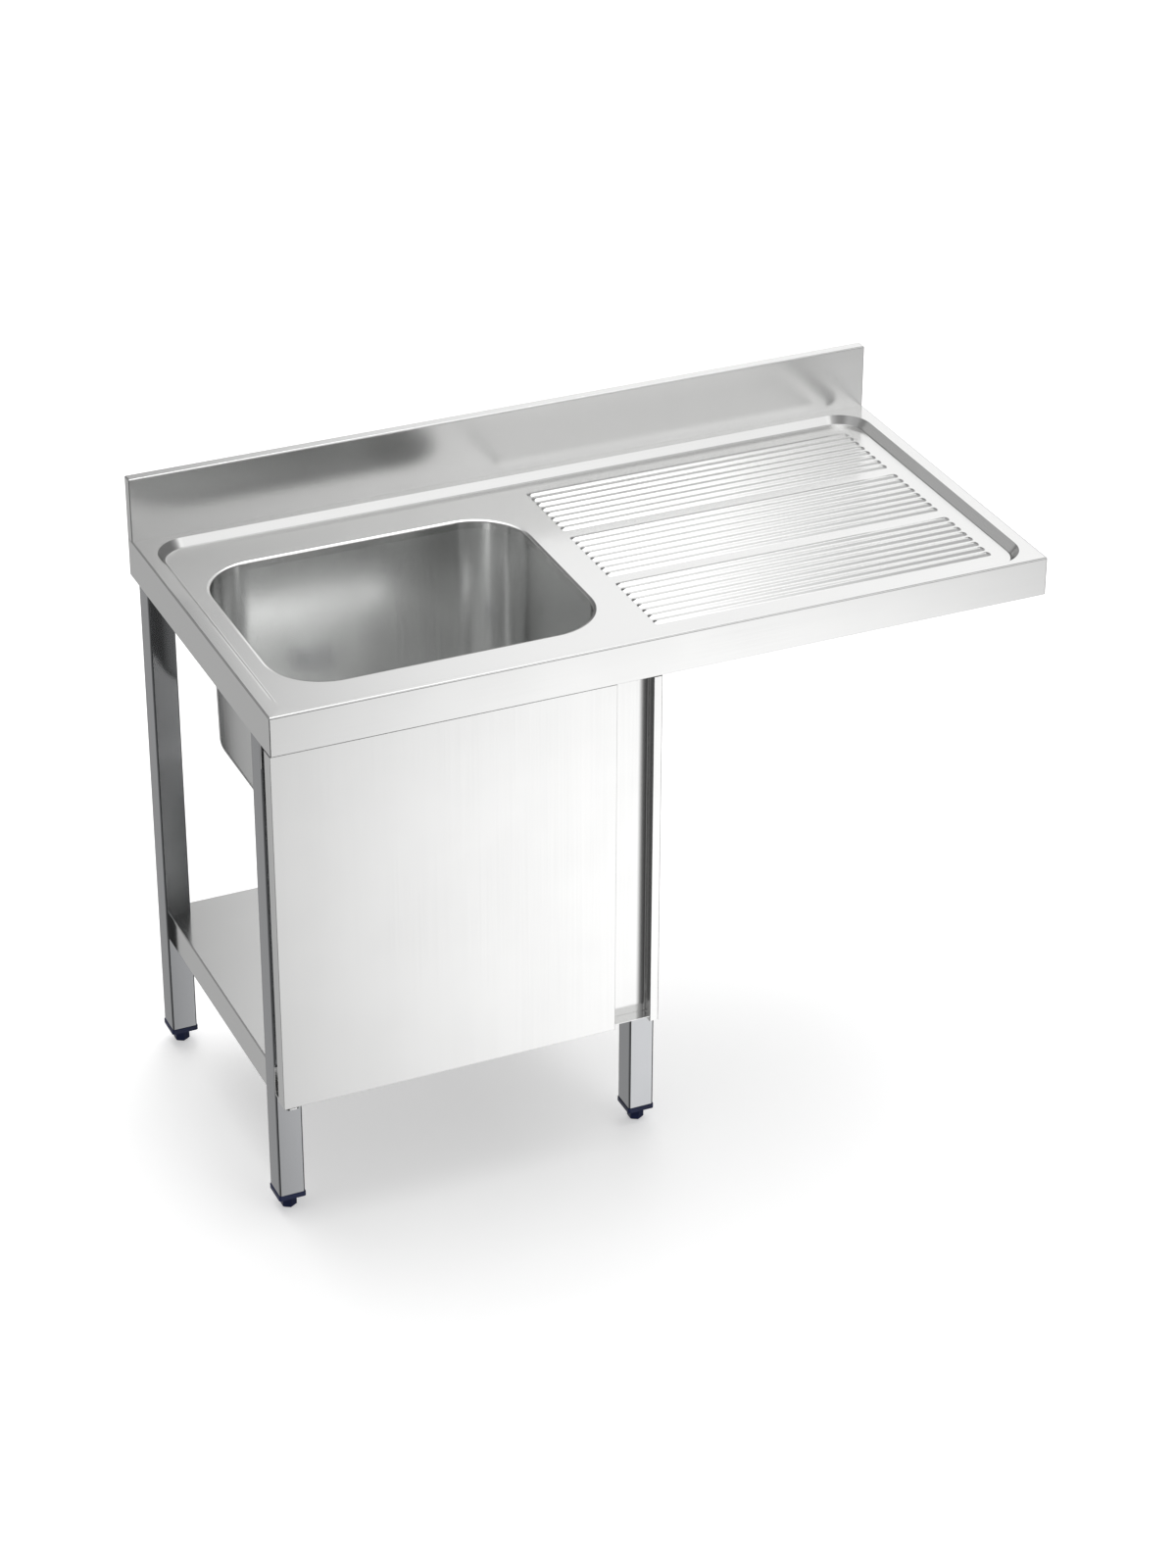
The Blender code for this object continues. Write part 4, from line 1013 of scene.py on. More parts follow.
class SINKUNIT_OT_rails(bpy.types.Operator):
    """Cut the tube rails that carry the deck"""
    bl_idname = "sinkunit.rails"
    bl_label = "Rails"

    def execute(self, context):
        size = sizes("frame")
        for name in RAILS:
            low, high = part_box(name)
            lengthwise = high.x - low.x > high.y - low.y
            bm = bmesh.new()
            if lengthwise:
                section = rounded_rectangle(low.y, high.y, low.z, high.z, size.rail_corner, 0, 5)
                rings = [[Vector((x, point.x, point.y)) for point in section] for x in (low.x, high.x)]
            else:
                section = rounded_rectangle(low.z, high.z, low.x, high.x, size.rail_corner, 0, 5)
                rings = [[Vector((point.y, y, point.x)) for point in section] for y in (low.y, high.y)]
            loft(bm, rings)
            make(f"{name}_tube", bm, brushed_along() if lengthwise else brushed_deep(), UNIT, "brushed_stainless", name,
                 wall=size.rail_wall, angle=35.0)
        return {"FINISHED"}


class SINKUNIT_OT_shelf(bpy.types.Operator):
    """Fold the notched shelf and the hat section under it"""
    bl_idname = "sinkunit.shelf"
    bl_label = "Shelf"

    def execute(self, context):
        size = sizes("frame")
        low, high = SHELF_LOW, SHELF_HIGH
        gap = size.notch_gap
        left_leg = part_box("front_left_leg")[1]
        right_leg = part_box("rear_right_leg")[0]
        notch = (left_leg.x + gap, right_leg.x - gap, left_leg.y + gap, right_leg.y - gap)
        bend = size.shelf_bend
        bm = bmesh.new()
        outline = (
            (notch[0], low.y + bend), (notch[1], low.y + bend), (notch[1], notch[2]), (high.x - bend, notch[2]),
            (high.x - bend, notch[3]), (notch[1], notch[3]), (notch[1], high.y - bend), (notch[0], high.y - bend),
            (notch[0], notch[3]), (low.x + bend, notch[3]), (low.x + bend, notch[2]), (notch[0], notch[2]),
        )
        corners = [bm.verts.new((x, y, high.z)) for x, y in outline]
        bm.faces.new(corners)
        for first, second, outward in ((0, 1, (0, -1, 0)), (3, 4, (1, 0, 0)), (6, 7, (0, 1, 0)), (9, 10, (-1, 0, 0))):
            edge = bm.edges.get((corners[first], corners[second]))
            self.fold_down(bm, edge, Vector(outward), high.z - low.z, size)
        bmesh.ops.recalc_face_normals(bm, faces=bm.faces)
        plate = max(bm.faces, key=lambda face: face.calc_area())
        if plate.normal.z < 0:
            bmesh.ops.reverse_faces(bm, faces=bm.faces)
        make("shelf_fold", bm, brushed_along(), UNIT, "brushed_stainless", "shelf", wall=size.shelf_sheet)
        self.stiffener(size)
        return {"FINISHED"}

    def fold_down(self, bm, edge, outward, height, size):
        """Grow a flange with its bend and its hem out of one edge."""
        bend = size.shelf_bend
        down = Vector((0, 0, -1))
        angles = quarter(5)
        moves = []
        for here, ahead in zip(angles, angles[1:]):
            out = bend * (math.sin(ahead) - math.sin(here))
            drop = bend * (math.cos(here) - math.cos(ahead))
            moves.append(outward * out + down * drop)
        moves.append(down * (height - 2 * bend))
        for here, ahead in zip(angles, angles[1:]):
            drop = bend * (math.sin(ahead) - math.sin(here))
            back = bend * (math.cos(here) - math.cos(ahead))
            moves.append(down * drop - outward * back)
        moves.append(-outward * (size.shelf_hem - bend))
        for move in moves:
            grown = bmesh.ops.extrude_edge_only(bm, edges=[edge])["geom"]
            verts = [item for item in grown if isinstance(item, bmesh.types.BMVert)]
            bmesh.ops.translate(bm, verts=verts, vec=move)
            edge = next(item for item in grown if isinstance(item, bmesh.types.BMEdge)
                        and all(vertex in verts for vertex in item.verts))

    def stiffener(self, size):
        """A hat section along the shelf's underside."""
        low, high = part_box("shelf_stiffener")
        middle = (low.y + high.y) / 2
        half = (high.y - low.y) / 2
        flange, bend = 0.018, 0.0015
        reach = half - flange
        hat = ((half, high.z), (reach, high.z), (reach, low.z + size.shelf_sheet), (-reach, low.z + size.shelf_sheet),
               (-reach, high.z), (-half, high.z))
        line = round_corners(hat, bend, 3)
        bm = bmesh.new()
        sweep_line(bm, [(low.x, middle + y, z) for y, z in line], (high.x - low.x, 0, 0))
        make("shelf_stiffener_fold", bm, brushed_along(), UNIT, "brushed_stainless", "shelf_stiffener",
             wall=size.shelf_sheet)


# ---------------------------------------------------------------- door and jamb

SMALL_BEND = 0.0012


class SINKUNIT_OT_door(bpy.types.Operator):
    """Fold the door's pan with its grip lip and close it with the inner skin"""
    bl_idname = "sinkunit.door"
    bl_label = "Door"

    def execute(self, context):
        door, fittings = sizes("door"), sizes("fittings")
        low, high = DOOR_LOW, DOOR_HIGH
        grip = high.x - door.lip_width
        lip_rear = low.y + door.lip_depth
        bm = bmesh.new()
        box(bm, low, high)
        drop_faces(bm, lambda middle, normal: normal.y > 0.9)
        slice_at(bm, (grip, 0, 0), (1, 0, 0))
        slice_at(bm, (0, lip_rear, 0), (0, 1, 0))
        drop_faces(bm, lambda middle, normal: middle.x > grip and middle.y > lip_rear)
        near = door.fit
        edges = [edge for edge in bm.edges
                 if all(abs(vertex.co.y - low.y) < near for vertex in edge.verts)
                 and not all(abs(vertex.co.x - grip) < near for vertex in edge.verts)]
        soften(bm, edges, door.bend, 5)
        pan = new_piece("door_pan", bm, brushed_upright())
        thicken(pan, door.sheet)
        bore_out(pan, fittings.bush_radius + door.fit, door.sheet * 4,
                 [(fittings.hinge_x, fittings.hinge_y, z) for z in (low.z, high.z)])
        smooth_finish(pan)
        hand_over(pan, DOOR, "brushed_stainless", "door_outer")
        self.inner_skin(door)
        return {"FINISHED"}

    def inner_skin(self, door):
        """The flat skin with its folded edge that closes the pan."""
        low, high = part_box("door_inner")
        inside = door.sheet + door.fit
        return_front = high.y - door.skin_return
        bm = bmesh.new()
        box(bm, low, high)
        drop_faces(bm, lambda middle, normal: normal.y < -0.9)
        edges = [edge for edge in bm.edges if all(abs(vertex.co.y - high.y) < door.fit for vertex in edge.verts)]
        soften(bm, edges, SMALL_BEND, 4)
        slice_at(bm, (0, return_front, 0), (0, 1, 0))
        drop_faces(bm, lambda middle, normal: middle.y < return_front and middle.x < high.x - inside)
        make("door_inner_skin", bm, brushed_upright(), DOOR, "brushed_stainless", "door_inner", wall=door.sheet)


class SINKUNIT_OT_jamb(bpy.types.Operator):
    """Fold the fixed jamb with its finger pocket and front strip"""
    bl_idname = "sinkunit.jamb"
    bl_label = "Jamb"

    def execute(self, context):
        door = sizes("door")
        low, high = JAMB_LOW, JAMB_HIGH
        face = low.y
        rear = high.y - door.sheet
        pocket_back = face + door.pocket_depth
        pocket_right = low.x + door.pocket_width
        strip_right = pocket_right + door.strip
        arc = door.pocket_sweep - door.pocket_corner
        steps = 12
        sweep = []
        for step in range(steps + 1):
            part = step / steps
            sweep.append((pocket_right - door.pocket_sweep + arc * part, pocket_back - door.pocket_rise * part ** 2))
        corner_y = pocket_back - door.pocket_rise * (1 + 2 * door.pocket_corner / arc)
        line = [(low.x, rear), (low.x, pocket_back), *sweep, (pocket_right, corner_y), (pocket_right, face),
                (strip_right, face), (strip_right, rear), (high.x, rear)]
        strip_bend = 0.0013
        radii = [0, SMALL_BEND] + [0] * len(sweep) + [door.pocket_corner, strip_bend, strip_bend, SMALL_BEND, 0]
        points = round_corners(line, radii, 8)
        bm = bmesh.new()
        sweep_line(bm, [(x, y, low.z) for x, y in points], (0, 0, high.z - low.z))
        make("jamb_fold", bm, brushed_upright(), UNIT, "brushed_stainless", "jamb", wall=door.sheet)
        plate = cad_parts["pocket_floor"]
        plate.data.materials.clear()
        plate.data.materials.append(brushed_along())
        return {"FINISHED"}


# ---------------------------------------------------------------- hinges and catch

def screw_tree():
    """Small pan head screws with a cross slot, one on each point of a mesh."""
    tree, source, sink = new_group("pan_screws", "GeometryNodeTree", (
        ("Geometry", "NodeSocketGeometry", None),
        ("Radius", "NodeSocketFloat", 0.0036),
        ("Turn", "NodeSocketRotation", None),
        ("Finish", "NodeSocketMaterial", None),
    ), (("Geometry", "NodeSocketGeometry"),))
    board = Board(tree)
    given = source.outputs
    head = board.node("GeometryNodeMeshUVSphere")
    head.inputs["Segments"].default_value = 24
    head.inputs["Rings"].default_value = 12
    board.feed(head.inputs["Radius"], given["Radius"])
    flat = board.node("GeometryNodeTransform")
    board.feed(flat.inputs["Geometry"], head.outputs["Mesh"])
    flat.inputs["Scale"].default_value = (1.0, 1.0, 0.55)
    slots = board.node("GeometryNodeJoinGeometry")
    slot_length, slot_width, slot_depth, slot_height = 1.2, 0.26, 0.5, 0.52
    for wide, deep in ((slot_length, slot_width), (slot_width, slot_length)):
        bar = board.node("GeometryNodeMeshCube")
        size = board.node("ShaderNodeCombineXYZ")
        for socket, part in zip(size.inputs, (wide, deep, slot_depth)):
            board.feed(socket, board.math("MULTIPLY", given["Radius"], part))
        board.feed(bar.inputs["Size"], size.outputs[0])
        up = board.node("GeometryNodeTransform")
        raised = board.node("ShaderNodeCombineXYZ")
        board.feed(raised.inputs[2], board.math("MULTIPLY", given["Radius"], slot_height))
        board.feed(up.inputs["Geometry"], bar.outputs["Mesh"])
        board.feed(up.inputs["Translation"], raised.outputs[0])
        board.feed(slots.inputs[0], up.outputs[0])
    cut = board.node("GeometryNodeMeshBoolean", operation="DIFFERENCE")
    board.feed(cut.inputs["Mesh 1"], flat.outputs[0])
    board.feed(cut.inputs["Mesh 2"], slots.outputs[0])
    spots = board.node("GeometryNodeMeshToPoints")
    board.feed(spots.inputs[0], given["Geometry"])
    put = board.node("GeometryNodeInstanceOnPoints")
    board.feed(put.inputs["Points"], spots.outputs[0])
    board.feed(put.inputs["Instance"], cut.outputs["Mesh"])
    board.feed(put.inputs["Rotation"], given["Turn"])
    close_tree(board, sink, put.outputs[0], given["Finish"])
    return tree


def screws(name, places, turn, radius):
    """A row of small screws as one piece."""
    tree = bpy.data.node_groups.get("pan_screws") or screw_tree()
    bm = bmesh.new()
    for place in places:
        bm.verts.new(place)
    piece = new_piece(name, bm, zinc_plate())
    run_tree(piece, tree, {"Radius": radius, "Turn": turn, "Finish": zinc_plate()})
    smooth_finish(piece, 35.0)
    hand_over(piece, UNIT, "zinc_plate")


class SINKUNIT_OT_hinges(bpy.types.Operator):
    """Make the hinge brackets, pins, bushes and their screws"""
    bl_idname = "sinkunit.hinges"
    bl_label = "Hinges"

    def execute(self, context):
        size = sizes("fittings")
        spots = []
        for name, away in (("lower", -1), ("upper", 1)):
            self.bracket(name, away, size)
            self.pin(name, away, size)
            self.bush(name, away, size)
            low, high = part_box(f"{name}_hinge_bracket")
            middle = (low.x + high.x) / 2
            face = high.y - size.bracket_plate
            start = self.ends(low, high, away)[1]
            spots += [(middle, face, start + away * from_end) for from_end in (0.009, 0.024)]
        screws("hinge_screws", spots, (math.pi / 2, 0, 0), size.screw_radius)
        return {"FINISHED"}

    def ends(self, low, high, away):
        """Heights of a hinge piece's outer and inner end."""
        return (high.z, low.z) if away > 0 else (low.z, high.z)

    def bracket(self, name, away, size):
        """The folded bracket with its rounded nose."""
        low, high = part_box(f"{name}_hinge_bracket")
        outer, end = self.ends(low, high, away)
        bend, nose_radius, near = 0.004, 0.005, 0.0002
        line = [(low.y, outer), (high.y, outer), (high.y, end)]
        if away > 0:
            line.reverse()
        bm = bmesh.new()
        sweep_line(bm, [(low.x, y, z) for y, z in round_corners(line, bend, 6)], (high.x - low.x, 0, 0))
        piece = new_piece(f"{name}_bracket_plate", bm, brushed_deep())
        thicken(piece, size.bracket_plate)
        bore_out(piece, size.pin_radius + PIN_FIT, size.bracket_plate * 4, [(size.hinge_x, size.hinge_y, outer)])
        bm = bmesh.new()
        bm.from_mesh(piece.data)
        nose = [edge for edge in bm.edges
                if all(abs(vertex.co.y - low.y) < near for vertex in edge.verts)
                and abs(edge.verts[0].co.z - edge.verts[1].co.z) > 5 * near]
        soften(bm, nose, nose_radius, 6)
        bm.to_mesh(piece.data)
        bm.free()
        smooth_finish(piece)
        hand_over(piece, UNIT, "brushed_stainless", f"{name}_hinge_bracket")

    def pin(self, name, away, size):
        """The turned pin with its flat head."""
        low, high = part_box(f"{name}_hinge_pin")
        head = (high.x - low.x) / 2
        outer, inner = self.ends(low, high, away)
        head_height = 0.0016
        under = outer - away * head_height
        profile = round_corners(
            [(LATHE_EYE, inner), (size.pin_radius, inner), (size.pin_radius, under), (head, under), (head, outer),
             (LATHE_EYE, outer)], [0, 0.0008, 0, 0.0003, 0.0007, 0], 3)
        if away < 0:
            profile.reverse()
        bm = bmesh.new()
        lathe(bm, profile, (size.hinge_x, size.hinge_y, 0), 40, closed=False)
        make(f"{name}_pin_turning", bm, zinc_plate(), UNIT, "zinc_plate", f"{name}_hinge_pin")

    def bush(self, name, away, size):
        """The flanged bush that turns on the pin."""
        low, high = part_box(f"{name}_hinge_bush")
        rim = (high.x - low.x) / 2
        bore = size.pin_radius + BORE_FIT
        outer, inner = self.ends(low, high, away)
        flange_height = 0.0012
        seat = outer - away * flange_height
        profile = round_corners([(bore, inner), (size.bush_radius, inner), (size.bush_radius, seat), (rim, seat),
                                 (rim, outer), (bore, outer)], [0.0004, 0.0006, 0, 0.0002, 0.0004, 0.0004], 2, True)
        if away < 0:
            profile.reverse()
        bm = bmesh.new()
        lathe(bm, profile, (size.hinge_x, size.hinge_y, 0), 40)
        make(f"{name}_bush_moulding", bm, pale_plastic(), DOOR, "pale_grey_plastic", f"{name}_hinge_bush")


class SINKUNIT_OT_catch(bpy.types.Operator):
    """Make the magnet catch with its pole plates and the strike on the door"""
    bl_idname = "sinkunit.catch"
    bl_label = "Catch"

    def execute(self, context):
        size = sizes("fittings")
        low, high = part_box("magnet_catch")
        proud, block_edge = 0.0004, 0.0016
        bm = bmesh.new()
        box(bm, (low.x, low.y + proud, low.z), high)
        soften(bm, bm.edges[:], block_edge, 4)
        make("catch_block", bm, pale_plastic(), UNIT, "pale_grey_plastic", "magnet_catch")
        self.poles(low, high)
        middle = (low.y + high.y) / 2
        from_end = 0.008
        screws("catch_screws", [(low.x, middle, low.z + from_end), (low.x, middle, high.z - from_end)],
               (0, -math.pi / 2, 0), size.screw_radius)
        self.strike()
        return {"FINISHED"}

    def poles(self, low, high):
        """The two pole plates that stand a little out of the block."""
        strike_low, strike_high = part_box("catch_strike")
        from_side, half, depth, from_end = 0.006, 0.0012, 0.004, 0.005
        bm = bmesh.new()
        for x in (strike_low.x + from_side, strike_high.x - from_side):
            verts = box(bm, (x - half, low.y, low.z + from_end), (x + half, low.y + depth, high.z - from_end))
            soften(bm, list({edge for vertex in verts for edge in vertex.link_edges}), 0.0003, 2)
        make("catch_poles", bm, zinc_plate(), UNIT, "zinc_plate")

    def strike(self):
        """The plate on the door, with round corners."""
        corner, through = 0.003, 0.0005
        bm = bmesh.new()
        box(bm, *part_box("catch_strike"))
        soften(bm, [edge for edge in bm.edges if abs(edge.verts[0].co.y - edge.verts[1].co.y) > through], corner, 5)
        make("strike_plate", bm, zinc_plate(), DOOR, "zinc_plate", "catch_strike")


# ---------------------------------------------------------------- waste

def strainer_tree():
    """Punch a ring of round holes through a disc."""
    tree, source, sink = new_group("strainer_punch", "GeometryNodeTree", (
        ("Geometry", "NodeSocketGeometry", None),
        ("Holes", "NodeSocketInt", 6),
        ("Hole radius", "NodeSocketFloat", 0.0042),
        ("Circle radius", "NodeSocketFloat", 0.0125),
        ("Centre", "NodeSocketVector", None),
        ("Finish", "NodeSocketMaterial", None),
    ), (("Geometry", "NodeSocketGeometry"),))
    board = Board(tree)
    given = source.outputs
    punch = board.node("GeometryNodeMeshCylinder")
    punch.inputs["Vertices"].default_value = 32
    punch.inputs["Depth"].default_value = 0.02
    board.feed(punch.inputs["Radius"], given["Hole radius"])
    punches = set_round(board, given["Holes"], given["Circle radius"], punch.outputs["Mesh"], given["Centre"])
    cut = board.node("GeometryNodeMeshBoolean", operation="DIFFERENCE")
    board.feed(cut.inputs["Mesh 1"], given["Geometry"])
    board.feed(cut.inputs["Mesh 2"], punches)
    close_tree(board, sink, cut.outputs["Mesh"], given["Finish"])
    return tree


def rib_tree():
    """Set upright ribs round a ring nut."""
    tree, source, sink = new_group("nut_ribs", "GeometryNodeTree", (
        ("Geometry", "NodeSocketGeometry", None),
        ("Ribs", "NodeSocketInt", 12),
        ("Circle radius", "NodeSocketFloat", 0.034),
        ("Rib size", "NodeSocketVector", None),
        ("Centre", "NodeSocketVector", None),
        ("Finish", "NodeSocketMaterial", None),
    ), (("Geometry", "NodeSocketGeometry"),))
    board = Board(tree)
    given = source.outputs
    rib = board.node("GeometryNodeMeshCube")
    board.feed(rib.inputs["Size"], given["Rib size"])
    turn = board.node("ShaderNodeCombineXYZ")
    step = board.math("DIVIDE", math.tau, given["Ribs"])
    board.feed(turn.inputs[2], board.math("MULTIPLY", board.node("GeometryNodeInputIndex").outputs[0], step))
    ribs = set_round(board, given["Ribs"], given["Circle radius"], rib.outputs["Mesh"], given["Centre"],
                     turn.outputs[0])
    fuse = board.node("GeometryNodeMeshBoolean", operation="UNION")
    board.feed(fuse.inputs["Mesh 2"], given["Geometry"])
    board.feed(fuse.inputs["Mesh 2"], ribs)
    close_tree(board, sink, fuse.outputs["Mesh"], given["Finish"])
    return tree


WASTE_STEPS = 64  # round the turned pieces


class SINKUNIT_OT_waste(bpy.types.Operator):
    """Make the waste: threaded tail, strainer, gasket and ribbed ring nut"""
    bl_idname = "sinkunit.waste"
    bl_label = "Waste"

    def execute(self, context):
        size = sizes("fittings")
        low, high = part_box("waste_tail")
        place = Vector(((low.x + high.x) / 2, (low.y + high.y) / 2, 0))
        flange = (high.x - low.x) / 2
        tube = sizes("bowl").hole_radius - BORE_FIT
        root = tube - 0.0008
        bore = tube - size.tail_wall
        ledge = bore - size.tail_wall
        flange_height, ledge_depth, plain_end, plain_neck = 0.003, 0.0023, 0.003, 0.004
        flange_low = high.z - flange_height
        ledge_top = high.z - ledge_depth
        outline = [(ledge, low.z), (root, low.z)]
        z = low.z + plain_end
        while z + size.thread_pitch < flange_low - plain_neck:
            outline += [(root, z), (tube, z + size.thread_pitch * 0.35), (tube, z + size.thread_pitch * 0.6)]
            z += size.thread_pitch
        outline += [(root, z), (root, flange_low)]
        outline += round_corners([(flange - 0.004, flange_low), (flange, flange_low), (flange, high.z),
                                  (flange - 0.008, high.z)], [0, 0.0004, 0.0018, 0], 4)
        outline += [(bore, high.z), (bore, ledge_top), (ledge, ledge_top)]
        bm = bmesh.new()
        lathe(bm, outline, place, WASTE_STEPS)
        make("waste_tail_turning", bm, polished_steel(), UNIT, "polished_stainless", "waste_tail")
        self.strainer(size, place)
        self.gasket(place)
        self.nut(size, place)
        return {"FINISHED"}

    def strainer(self, size, place):
        """The punched plate over the tail."""
        low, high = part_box("waste_strainer")
        disc = (high.x - low.x) / 2
        eye = 0.0005
        outline = round_corners([(eye, low.z), (disc, low.z), (disc, high.z), (eye, high.z)],
                                [0, 0.0003, 0.0006, 0], 3)
        bm = bmesh.new()
        lathe(bm, outline, place, WASTE_STEPS, closed=False)
        piece = new_piece("strainer_plate", bm, polished_steel())
        run_tree(piece, strainer_tree(), {
            "Holes": size.strainer_holes,
            "Hole radius": size.strainer_hole,
            "Circle radius": size.strainer_circle,
            "Centre": (place.x, place.y, high.z),
            "Finish": polished_steel(),
        })
        smooth_finish(piece)
        hand_over(piece, UNIT, "polished_stainless", "waste_strainer")

    def gasket(self, place):
        """The soft ring under the bowl."""
        low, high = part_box("waste_gasket")
        radius = (high.x - low.x) / 2
        inner = sizes("bowl").hole_radius
        outline = round_corners([(inner, low.z), (radius, low.z), (radius, high.z), (inner, high.z)], 0.0008, 3, True)
        bm = bmesh.new()
        lathe(bm, outline, place, WASTE_STEPS)
        make("gasket_ring", bm, black_rubber(), UNIT, "black_rubber", "waste_gasket")

    def nut(self, size, place):
        """The ring nut with its ribs."""
        low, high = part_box("waste_nut")
        radius = (high.x - low.x) / 2
        inner = sizes("bowl").hole_radius
        rib_height, rib_inset = 0.0022, 0.002
        body = radius - rib_height
        outline = round_corners([(inner, low.z), (body, low.z), (body, high.z), (inner, high.z)], 0.0012, 3, True)
        bm = bmesh.new()
        lathe(bm, outline, place, WASTE_STEPS)
        piece = new_piece("ring_nut", bm, pale_plastic())
        run_tree(piece, rib_tree(), {
            "Ribs": size.nut_ribs,
            "Circle radius": radius - rib_inset,
            "Rib size": (0.0038, 0.0045, high.z - low.z - rib_inset),
            "Centre": (place.x, place.y, (low.z + high.z) / 2),
            "Finish": pale_plastic(),
        })
        smooth_finish(piece)
        hand_over(piece, UNIT, "pale_grey_plastic", "waste_nut")


# ---------------------------------------------------------------- stage

def heading(azimuth, elevation):
    """A direction: azimuth from straight back towards the right, elevation above the floor, in degrees."""
    turn, rise = math.radians(azimuth), math.radians(elevation)
    return Vector((math.sin(turn) * math.cos(rise), math.cos(turn) * math.cos(rise), math.sin(rise)))


BASE_LIGHT = 0.12

SOFT_BOXES = (
    # azimuth, half width, soft edge, low edge, high edge, soft edge, strength
    (27.75, 9.25, 10, 0, 62, 14, 0.90),
    (18, 16, 8, -28, 0, 12, 0.65),
    (-92, 34, 36, 4, 64, 26, 0.25),
    (92, 40, 30, -30, 60, 30, 0.05),
    (155, 7, 8, -22, 22, 10, 0.22),
)

GLOWS = (
    # azimuth, elevation, full within, gone beyond, strength
    (153.5, -31, 0, 14, 1.37),
    (157, -58, 8, 26, 0.60),
    (154, 27, 3, 10, 0.92),
    (146, 29, 4, 34, 0.38),
    (150, 60, 8, 28, 0.30),
    (149, 47, 5, 14, 0.45),
    (16, 55, 14, 17.8, 1.20),
    (18, 74, 8, 22, 1.30),
    (50, 34, 10, 20, 0.25),
    (48, 55, 3, 12, 0.14),
    (0, 90, 20, 48, 0.30),
    (-22, -35, 15, 45, 0.31),
    (-29, 28, 6, 20, 0.33),
    (-95, -30, 10, 45, 0.10),
    (200, -30, 10, 40, -0.07),
    (-149, 20, 8, 20, 0.42),
    (-168, 7, 5, 14, 0.40),
)

FLOOR_HALF = 40.0
FLOOR_DROP = 0.0005
SHADOW_WAY = (-0.25, -0.30, -1.0)
SHADOW_SPREAD = 70
VIEW_PLACE = (-2.1103, -4.7137, 3.4297)
VIEW_WAY = (0.3496, 0.7947, -0.4962)
VIEW_SHIFT = (0.0163, -0.00775)


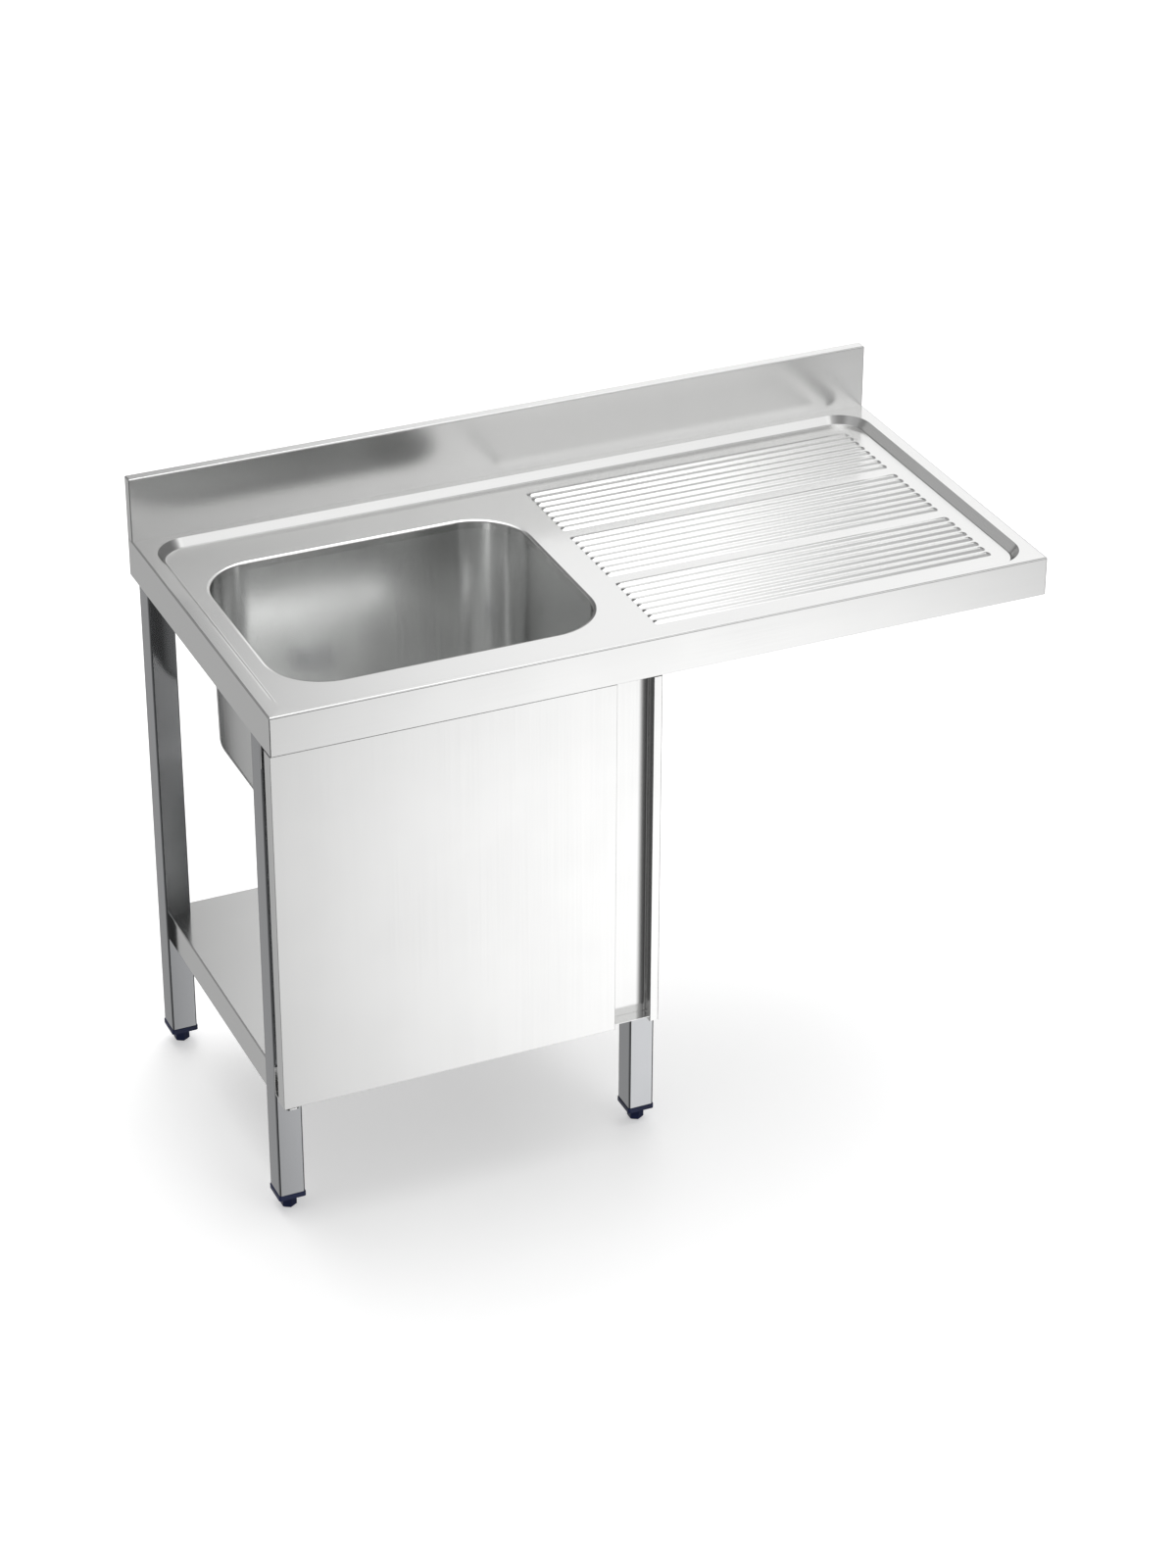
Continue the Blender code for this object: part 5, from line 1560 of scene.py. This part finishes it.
class SINKUNIT_OT_stage(bpy.types.Operator):
    """Set the pale floor, the soft studio light and the camera"""
    bl_idname = "sinkunit.stage"
    bl_label = "Stage"

    def execute(self, context):
        self.world(context.scene)
        self.floor()
        self.overhead(context.scene)
        self.camera(context.scene)
        context.scene.view_settings.view_transform = "Standard"
        return {"FINISHED"}

    def world(self, scene):
        """Soft boxes round the unit, white to the camera."""
        world = bpy.data.worlds.new("studio")
        world.use_nodes = True
        scene.world = world
        tree = world.node_tree
        tree.nodes.clear()
        board = Board(tree)
        way = board.node("ShaderNodeTexCoord").outputs["Generated"]
        total = BASE_LIGHT
        for azimuth, elevation, inner, outer, strength in GLOWS:
            facing = board.vector("DOT_PRODUCT", way, heading(azimuth, elevation))
            total = board.math("ADD", total, self.fade(board, board.math("ARCCOSINE", facing), inner, outer, strength))
        parts = board.node("ShaderNodeSeparateXYZ")
        board.feed(parts.inputs[0], way)
        bearing = board.math("ARCTAN2", parts.outputs[0], parts.outputs[1])
        height = board.math("ARCSINE", parts.outputs[2])
        for azimuth, half, edge, low, high, rim, strength in SOFT_BOXES:
            aside = board.math("ABSOLUTE", board.math("SUBTRACT", bearing, math.radians(azimuth)))
            across = self.fade(board, aside, half - edge / 2, half + edge / 2, strength)
            middle, tall = (low + high) / 2, (high - low) / 2
            above = board.math("ABSOLUTE", board.math("SUBTRACT", height, math.radians(middle)))
            up = self.fade(board, above, tall - rim / 2, tall + rim / 2, 1.0)
            total = board.math("ADD", total, board.math("MULTIPLY", across, up))
        studio = board.node("ShaderNodeBackground")
        board.feed(studio.inputs["Color"], total)
        white = board.node("ShaderNodeBackground")
        white.inputs["Color"].default_value = (1, 1, 1, 1)
        choice = board.node("ShaderNodeMixShader")
        board.feed(choice.inputs[0], board.node("ShaderNodeLightPath").outputs["Is Camera Ray"])
        board.feed(choice.inputs[1], studio.outputs[0])
        board.feed(choice.inputs[2], white.outputs[0])
        board.feed(board.node("ShaderNodeOutputWorld").inputs[0], choice.outputs[0])

    def fade(self, board, angle, inner, outer, strength):
        """Strength that falls away from one angle to another, in degrees."""
        return board.span(angle, math.radians(inner), math.radians(outer), strength, 0.0, kind="SMOOTHSTEP")

    def floor(self):
        """A pale floor that takes only part of the shadow."""
        settings = sizes("stage")
        bm = bmesh.new()
        bmesh.ops.create_grid(bm, x_segments=1, y_segments=1, size=FLOOR_HALF)
        bmesh.ops.translate(bm, verts=bm.verts, vec=(0, 0, -FLOOR_DROP))
        material = bpy.data.materials.new("pale_floor")
        material.use_nodes = True
        board = Board(material.node_tree)
        material.node_tree.nodes.clear()
        matt = board.node("ShaderNodeBsdfDiffuse")
        matt.inputs["Color"].default_value = (*settings.floor, 1.0)
        glow = board.node("ShaderNodeEmission")
        glow.inputs["Color"].default_value = (1, 1, 1, 1)
        seen = board.node("ShaderNodeLightPath").outputs["Is Camera Ray"]
        board.feed(glow.inputs["Strength"], board.math("MULTIPLY", seen, settings.floor_lift))
        both = board.node("ShaderNodeAddShader")
        board.feed(both.inputs[0], matt.outputs[0])
        board.feed(both.inputs[1], glow.outputs[0])
        board.feed(board.node("ShaderNodeOutputMaterial").inputs[0], both.outputs[0])
        floor = new_piece("floor", bm, material)
        floor.visible_glossy = False
        floor.visible_shadow = False

    def overhead(self, scene):
        """A broad overhead light, kept out of reflections, that lays the shadow on the floor."""
        lamp = bpy.data.lights.new("overhead", "SUN")
        lamp.energy = sizes("stage").overhead
        lamp.angle = math.radians(SHADOW_SPREAD)
        light = bpy.data.objects.new("overhead", lamp)
        light.rotation_mode = "QUATERNION"
        light.rotation_quaternion = Vector(SHADOW_WAY).to_track_quat("-Z", "Y")
        light.visible_glossy = False
        scene.collection.objects.link(light)

    def camera(self, scene):
        """The photograph's own view."""
        lens = bpy.data.cameras.new("view")
        lens.lens = sizes("stage").lens
        lens.sensor_width = 36.0
        lens.shift_x, lens.shift_y = VIEW_SHIFT
        lens.clip_end = 200.0
        camera = bpy.data.objects.new("view", lens)
        camera.location = VIEW_PLACE
        camera.rotation_mode = "QUATERNION"
        camera.rotation_quaternion = Vector(VIEW_WAY).to_track_quat("-Z", "Y")
        scene.collection.objects.link(camera)
        scene.camera = camera


# ---------------------------------------------------------------- panel and registration

GROUPS = (
    ("top", SINKUNIT_PG_top),
    ("bowl", SINKUNIT_PG_bowl),
    ("drainer", SINKUNIT_PG_drainer),
    ("frame", SINKUNIT_PG_frame),
    ("door", SINKUNIT_PG_door),
    ("fittings", SINKUNIT_PG_fittings),
    ("finishes", SINKUNIT_PG_finishes),
    ("stage", SINKUNIT_PG_stage),
)

STEPS = (
    SINKUNIT_OT_stage,
    SINKUNIT_OT_worktop,
    SINKUNIT_OT_splashback,
    SINKUNIT_OT_bowl,
    SINKUNIT_OT_legs,
    SINKUNIT_OT_leg_caps,
    SINKUNIT_OT_feet,
    SINKUNIT_OT_rails,
    SINKUNIT_OT_shelf,
    SINKUNIT_OT_door,
    SINKUNIT_OT_jamb,
    SINKUNIT_OT_hinges,
    SINKUNIT_OT_catch,
    SINKUNIT_OT_waste,
)


class SINKUNIT_PT_panel(bpy.types.Panel):
    """Lists the pieces of the sink unit"""
    bl_idname = "SINKUNIT_PT_panel"
    bl_label = "Sink Unit"
    bl_space_type = "VIEW_3D"
    bl_region_type = "UI"
    bl_category = "Sink Unit"

    def draw(self, context):
        for step in STEPS:
            self.layout.operator(step.bl_idname)


def register():
    for name, group in GROUPS:
        bpy.utils.register_class(group)
        setattr(bpy.types.Scene, f"sinkunit_{name}", PointerProperty(type=group))
    for step in STEPS:
        bpy.utils.register_class(step)
    bpy.utils.register_class(SINKUNIT_PT_panel)


def unregister():
    bpy.utils.unregister_class(SINKUNIT_PT_panel)
    for step in reversed(STEPS):
        bpy.utils.unregister_class(step)
    for name, group in reversed(GROUPS):
        delattr(bpy.types.Scene, f"sinkunit_{name}")
        bpy.utils.unregister_class(group)


def main():
    """Register the add-on and build every piece in order."""
    register()
    for step in STEPS:
        family, name = step.bl_idname.split(".")
        getattr(getattr(bpy.ops, family), name)()
    bpy.context.view_layer.update()


if __name__ == "__main__":
    main()
